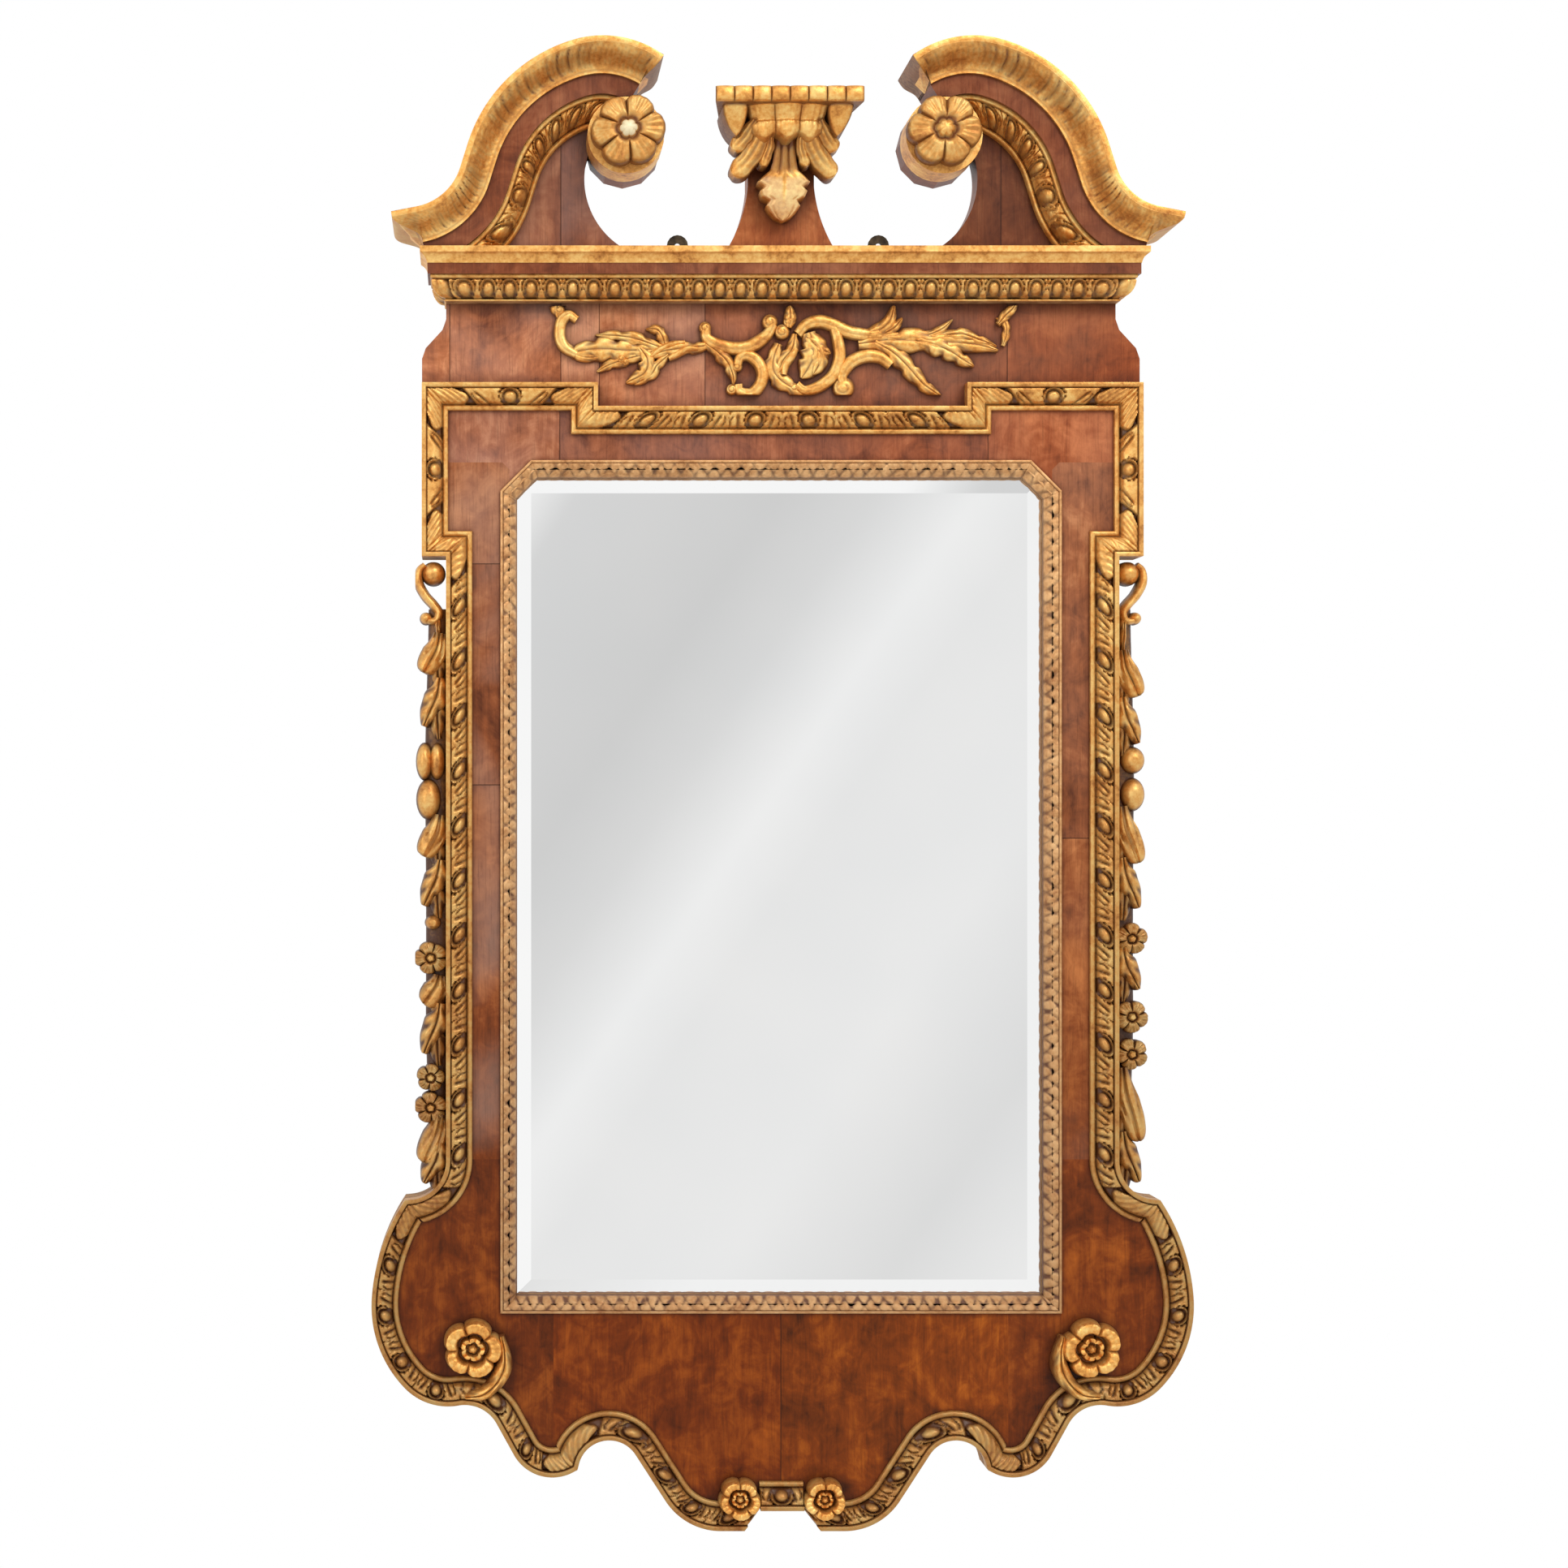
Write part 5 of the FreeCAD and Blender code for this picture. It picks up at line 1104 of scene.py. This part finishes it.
def walnutMaterial(name, veneer):
    # figured veneer: broad mottles, streaks along the grain, dark pores, joints, and painted shade with dirt
    # along the mouldings, from ambient occlusion
    veneer = {**walnut, **veneer}
    r = Recipe(bpy.data.materials.new("walnut_" + name))
    upper, lower = ([tone(*colour) for colour in veneer[part]] for part in ("upper", "lower"))
    bloom, pore, dirtAndShade = (tone(*veneer[part]) for part in ("bloom", "pore", "dirtAndShade"))
    where = r.split(r.onPiece())
    # leaves of veneer meet at the joints: each leaf has its own number and figure
    panel, line = 0.0, 0.0
    for place in veneer["joints"]:
        panel = r.maths("ADD", r.maths("GREATER_THAN", where[veneer["across"]], place * mm), panel)
        line = r.maths("ADD", r.maths("COMPARE", where[veneer["across"]], place * mm, 0.0005), line)
    x = r.maths("ABSOLUTE", where["X"]) if veneer["book"] else where["X"]
    x = r.maths("MULTIPLY_ADD", panel, 1.37, x) if veneer["joints"] else x
    place = r.add("CombineXYZ", {"X": x, "Y": where["Y"], "Z": where["Z"]}).outputs[0]
    flat, grain, fine = (r.turned(place, (1.0, 1.0, length), turn, veneer["shift"])
                         for turn, length in ((0.0, 1.0), (veneer["turn"], 0.16), (veneer["turn"], 0.05)))
    mottle = r.noise(flat, 11.0, 6.0, 0.62, 1.2)
    streak = r.noise(grain, 70.0, 6.0, 0.66, 1.0)
    pores = r.ramp(r.noise(fine, 620.0, 3.0, 0.6), (0.52, 0.68), (black, white))
    burr = r.noise(flat, 42.0, 5.0, 0.6, 1.8)
    mixed = r.maths("MULTIPLY_ADD", burr, 0.3, r.maths("MULTIPLY", mottle, 0.6))
    mixed = r.maths("MULTIPLY_ADD", streak, 0.35, mixed)
    if veneer["joints"]:
        each = r.add("TexWhiteNoise", {"W": panel}, noise_dimensions="1D").outputs["Value"]
        mixed = r.maths("ADD", mixed, r.maths("MULTIPLY_ADD", each, 0.14, -0.07))
    colour = r.blend(r.span(where["Z"], -0.12, -0.95), r.ramp(mixed, veneer["stops"], upper),
                     r.ramp(mixed, veneer["stops"], lower))
    cloud = r.ramp(r.noise(flat, 7.0, 3.0, 0.5, 0.4), (0.4, 0.62), (black, white))
    colour = r.blend(r.maths("MULTIPLY", cloud, veneer["grey"]), colour, bloom)
    colour = r.blend(r.maths("MULTIPLY", pores, 0.22), colour, pore)
    # painted shade: darker where ambient occlusion finds corners by the mouldings, standing for shade and
    # dirt
    corner = r.add("AmbientOcclusion", {"Distance": 0.016}, samples=6).outputs["AO"]
    colour = r.blend(r.maths("MULTIPLY", r.ramp(corner, (0.45, 0.95), (white, black)), 0.75), colour, dirtAndShade)
    if veneer["joints"]:
        colour = r.blend(r.maths("MULTIPLY", line, 0.7), colour, dirtAndShade)
    # the veneer fades from one side of the piece to the other
    faded = tuple(a * b for a, b in zip(veneer["warmth"], veneer["change"]))
    fade = r.blend(r.span(where["X"], -0.25, 0.25), veneer["warmth"], faded)
    r.bump(r.maths("SUBTRACT", streak, r.maths("MULTIPLY", pores, 0.6)), 0.0004, 0.3)
    return r.finish(r.blend(1.0, colour, fade, "MULTIPLY"), r.span(mottle, 0.0, 1.0, 0.3, 0.45),
                    **{"Specular IOR Level": 0.16})


def giltMaterial(name, light, middle, worn, shadeAndGlaze, shine=0.75, rough=0.36, lowBrowning=0.0):
    # water gilding: warm leaf, rubbed through to bole in patches, with brown glaze and painted shade where
    # the hollow attribute is high
    r = Recipe(bpy.data.materials.new(name))
    place = r.onPiece()
    patches = r.noise(place, 38.0, 5.0, 0.62, 0.5)
    fine = r.noise(place, 260.0, 4.0, 0.6)
    mixed = r.maths("MULTIPLY_ADD", fine, 0.4, r.maths("MULTIPLY", patches, 0.6))
    colour = r.ramp(mixed, (0.34, 0.47, 0.62), (tone(*worn), tone(*middle), tone(*light)))
    dirtAndShade = r.add("Attribute", attribute_name="hollow").outputs["Fac"]
    spots = r.maths("MULTIPLY_ADD", fine, 0.9, r.maths("MULTIPLY_ADD", patches, 0.5, -0.6))
    shadedAndGlazed = r.maths("MULTIPLY", dirtAndShade, r.maths("ADD", spots, 0.9))
    # the lower half of the frame is browner
    low = r.maths("MULTIPLY", r.span(r.split(place)["Z"], -0.25, -1.0), lowBrowning)
    shadedAndGlazed = r.clamp(r.maths("MULTIPLY_ADD", low, r.maths("ADD", spots, 1.0), shadedAndGlazed))
    pale = r.clamp(r.maths("MULTIPLY", dirtAndShade, -0.9))
    colour = r.blend(pale, r.blend(shadedAndGlazed, colour, tone(*shadeAndGlaze)), tone(255, 244, 204))
    metal = r.maths("MULTIPLY", r.maths("SUBTRACT", 1.0, r.maths("MAXIMUM", shadedAndGlazed, pale)), shine)
    r.bump(r.maths("ADD", fine, patches), 0.0006, 0.5)
    return r.finish(colour, r.span(fine, 0.0, 1.0, rough, rough + 0.2), Metallic=metal)


def mirrorMaterial():
    # silvered plate: clean, very slightly uneven
    r = Recipe(bpy.data.materials.new("silvered_plate"))
    haze = r.noise(r.onPiece(), 6.0, 2.0)
    tint = r.ramp(haze, (0.3, 0.7), ((0.93, 0.935, 0.935), (0.96, 0.96, 0.955)))
    return r.finish(tint, r.span(haze, 0.0, 1.0, 0.015, 0.04), Metallic=1.0)


def woodMaterial(name, light, dark, turn, rough=0.7):
    # plain softwood: growth bands and fine fibres along the board
    r = Recipe(bpy.data.materials.new(name))
    grain = r.turned(r.onPiece(), (1.0, 1.0, 0.08), turn)
    bands = r.noise(grain, 60.0, 4.0, 0.5, 0.4)
    fibres = r.noise(grain, 520.0, 3.0, 0.6)
    mixed = r.maths("MULTIPLY_ADD", fibres, 0.4, r.maths("MULTIPLY", bands, 0.6))
    r.bump(fibres, 0.0005, 0.5)
    return r.finish(r.ramp(mixed, (0.36, 0.62), (tone(*dark), tone(*light))),
                    r.span(bands, 0.0, 1.0, rough - 0.1, rough + 0.1))


def metalMaterial(name, light, dark, shine, rough):
    # tarnish in spots, rougher where it is lighter
    r = Recipe(bpy.data.materials.new(name))
    spots = r.noise(r.onPiece(), 140.0, 5.0, 0.6)
    r.bump(spots, 0.0003, 0.4)
    return r.finish(r.ramp(spots, (0.35, 0.65), (tone(*dark), tone(*light))),
                    r.span(spots, 0.0, 1.0, rough, rough + 0.25), Metallic=shine)


def wear(material, names):
    # the material on each named node, in place of its own
    for name in names:
        mesh = nodes[name].data
        mesh.materials.clear()
        mesh.materials.append(material)


def finishNodes(gilt):
    # finishes of the pieces that keep their own shape
    for name, veneer in veneers.items():
        wear(walnutMaterial(name, veneer), veneer.get("pieces", [name + "_veneer"]))
    wear(gilt, ["cornice_fillet", "scroll_bosses"])
    wear(woodMaterial("pine_boards", (196, 150, 98), (128, 84, 46), uprightGrain),
         ["left_stile", "right_stile", "left_ear_board", "right_ear_board", "apron_board"])
    wear(woodMaterial("pine_rails", (190, 144, 94), (122, 80, 44), acrossGrain),
         ["top_rail", "frieze_board", "cornice_core"])
    wear(woodMaterial("backboard", (168, 124, 80), (98, 64, 36), uprightGrain, 0.8), ["backing_board"])
    wear(mirrorMaterial(), ["mirror_glass"])
    wear(metalMaterial("plate_brass", (92, 78, 56), (36, 28, 22), 0.7, 0.4), ["hanging_plates"])
    wear(metalMaterial("nail_iron", (74, 62, 54), (38, 30, 26), 0.6, 0.55), ["back_nails"])
    print("finishes on", len(veneers), "veneers, the boards, the glass and the metal")


# Floor, light and camera, in metres

stage = {"floorHalf": 9.0, "floorLevel": -1.9,
         "camera": (-0.2885, -2.527, -0.535), "lens": 61.3, "sensor": 36.0,
         "shiftX": 0.1985, "shiftY": 0.0176, "room": 0.62,
         # the greys of a slanting band that the glass shows: where it starts and ends, then places and greys
         "lean": -0.67, "band": (-0.215, 0.485),
         "greys": [(0.21, 0.97), (0.25, 0.7), (0.357, 0.645), (0.407, 0.72), (0.46, 0.9), (0.5, 0.83),
                   (0.6, 0.855), (0.686, 0.75), (0.8, 0.93)],
         # place, target, size and power
         "lamps": {"key": ((1.4, -2.6, 2.2), (0.0, 0.0, -0.4), 1.6, 60.0),
                   "fill": ((-2.6, -2.2, 0.4), (0.0, 0.0, -0.6), 2.0, 22.0)}}


def makeFloor():
    # a pale square, white where the camera sees it, and not there at all in the glass and the gilding
    half, level = stage["floorHalf"], stage["floorLevel"]
    mesh = bpy.data.meshes.new("floor")
    mesh.from_pydata([(-half, -half, level), (half, -half, level), (half, half, level), (-half, half, level)],
                     [], [(0, 1, 2, 3)])
    floor = bpy.data.objects.new("floor", mesh)
    scene.collection.objects.link(floor)
    r = Recipe(bpy.data.materials.new("pale_floor"))
    shade = r.ramp(r.noise(r.onPiece(), 2.0, 2.0), (0.3, 0.7), ((0.8, 0.8, 0.8), (0.84, 0.84, 0.84)))
    path = r.add("LightPath").outputs
    glow = r.add("Emission", {"Color": (*white, 1.0), "Strength": 1.0}).outputs[0]
    clear = r.add("BsdfTransparent").outputs[0]
    mesh.materials.append(r.finish(shade, 0.8))
    unseen = r.add("MixShader", {0: path["Is Glossy Ray"], 1: r.shader.outputs[0], 2: clear}).outputs[0]
    through = r.maths("MAXIMUM", path["Is Camera Ray"], path["Is Transmission Ray"])
    seen = r.add("MixShader", {0: through, 1: unseen, 2: glow}).outputs[0]
    r.feed(r.tree.nodes["Material Output"], {"Surface": seen})


def makeWorld():
    # white to the camera; greys for what is mirrored, by the ray's x and its lean in z; and a soft room for
    # all the rest
    world = bpy.data.worlds.new("studio")
    scene.world = world
    r = Recipe(world)
    r.tree.nodes.clear()
    path = r.add("LightPath").outputs
    ray = r.split(r.add("TexCoord").outputs["Generated"])
    across = r.span(r.maths("MULTIPLY_ADD", ray["Z"], stage["lean"], ray["X"]), *stage["band"])
    places, greys = zip(*stage["greys"])
    mirrored = r.ramp(across, places, [(grey, grey, grey) for grey in greys])
    lights = ((mirrored, 1.0), ((1.0, 0.99, 0.97, 1.0), stage["room"]), ((*white, 1.0), 1.0))
    mirrored, room, backdrop = (r.add("Background", {"Color": colour, "Strength": strength}).outputs[0]
                                for colour, strength in lights)
    light = r.add("MixShader", {0: path["Is Glossy Ray"], 1: room, 2: mirrored}).outputs[0]
    seen = r.add("MixShader", {0: path["Is Camera Ray"], 1: light, 2: backdrop}).outputs[0]
    r.add("OutputWorld", {"Surface": seen})


def addLamp(name, place, target, size, power):
    # square lamp turned to its target
    lamp = bpy.data.lights.new(name, "AREA")
    lamp.shape, lamp.size, lamp.energy = "SQUARE", size, power
    obj = bpy.data.objects.new(name, lamp)
    obj.location = place
    obj.rotation_euler = (Vector(target) - Vector(place)).to_track_quat("-Z", "Y").to_euler()
    scene.collection.objects.link(obj)


def makeCamera():
    # level and square to the wall, so that the frame's sides stay upright
    camera = bpy.data.cameras.new("camera")
    camera.lens, camera.sensor_width = stage["lens"], stage["sensor"]
    camera.shift_x, camera.shift_y = stage["shiftX"], stage["shiftY"]
    obj = bpy.data.objects.new("camera", camera)
    obj.location = stage["camera"]
    obj.rotation_euler = (pi / 2, 0.0, 0.0)
    scene.collection.objects.link(obj)
    scene.camera = obj


scene.view_settings.view_transform = "Standard"
gold = giltMaterial("gilding", (255, 214, 132), (236, 170, 86), (188, 118, 54), (112, 62, 24))
# the second gilding is browner towards the bottom of the frame
lowBrownGold = giltMaterial("gilding_low_brown", (255, 210, 128), (232, 168, 88), (172, 108, 50), (84, 46, 18),
                       rough=0.34, lowBrowning=0.34)
dryGold = giltMaterial("gilding_dry", (244, 196, 138), (214, 160, 104), (168, 112, 66), (98, 56, 28),
                       0.6, 0.45, 0.3)
makeFloor()
makeWorld()
for lampName, settings in stage["lamps"].items():
    addLamp(lampName, *settings)
makeCamera()
print("stage set")

finishNodes(lowBrownGold)
makeOuterMouldings(lowBrownGold)
makeSlips(dryGold)
makeCorniceOvolo(lowBrownGold)
makeCrowns(gold)
# painted light: the neck mouldings take the lighter gilding to lift the shade under the walnut band
makeNeckMouldings(gold)
makeFlowers(gold)
makeFriezeSpray(gold)
makeDrops(lowBrownGold)
makeConsole(gold)
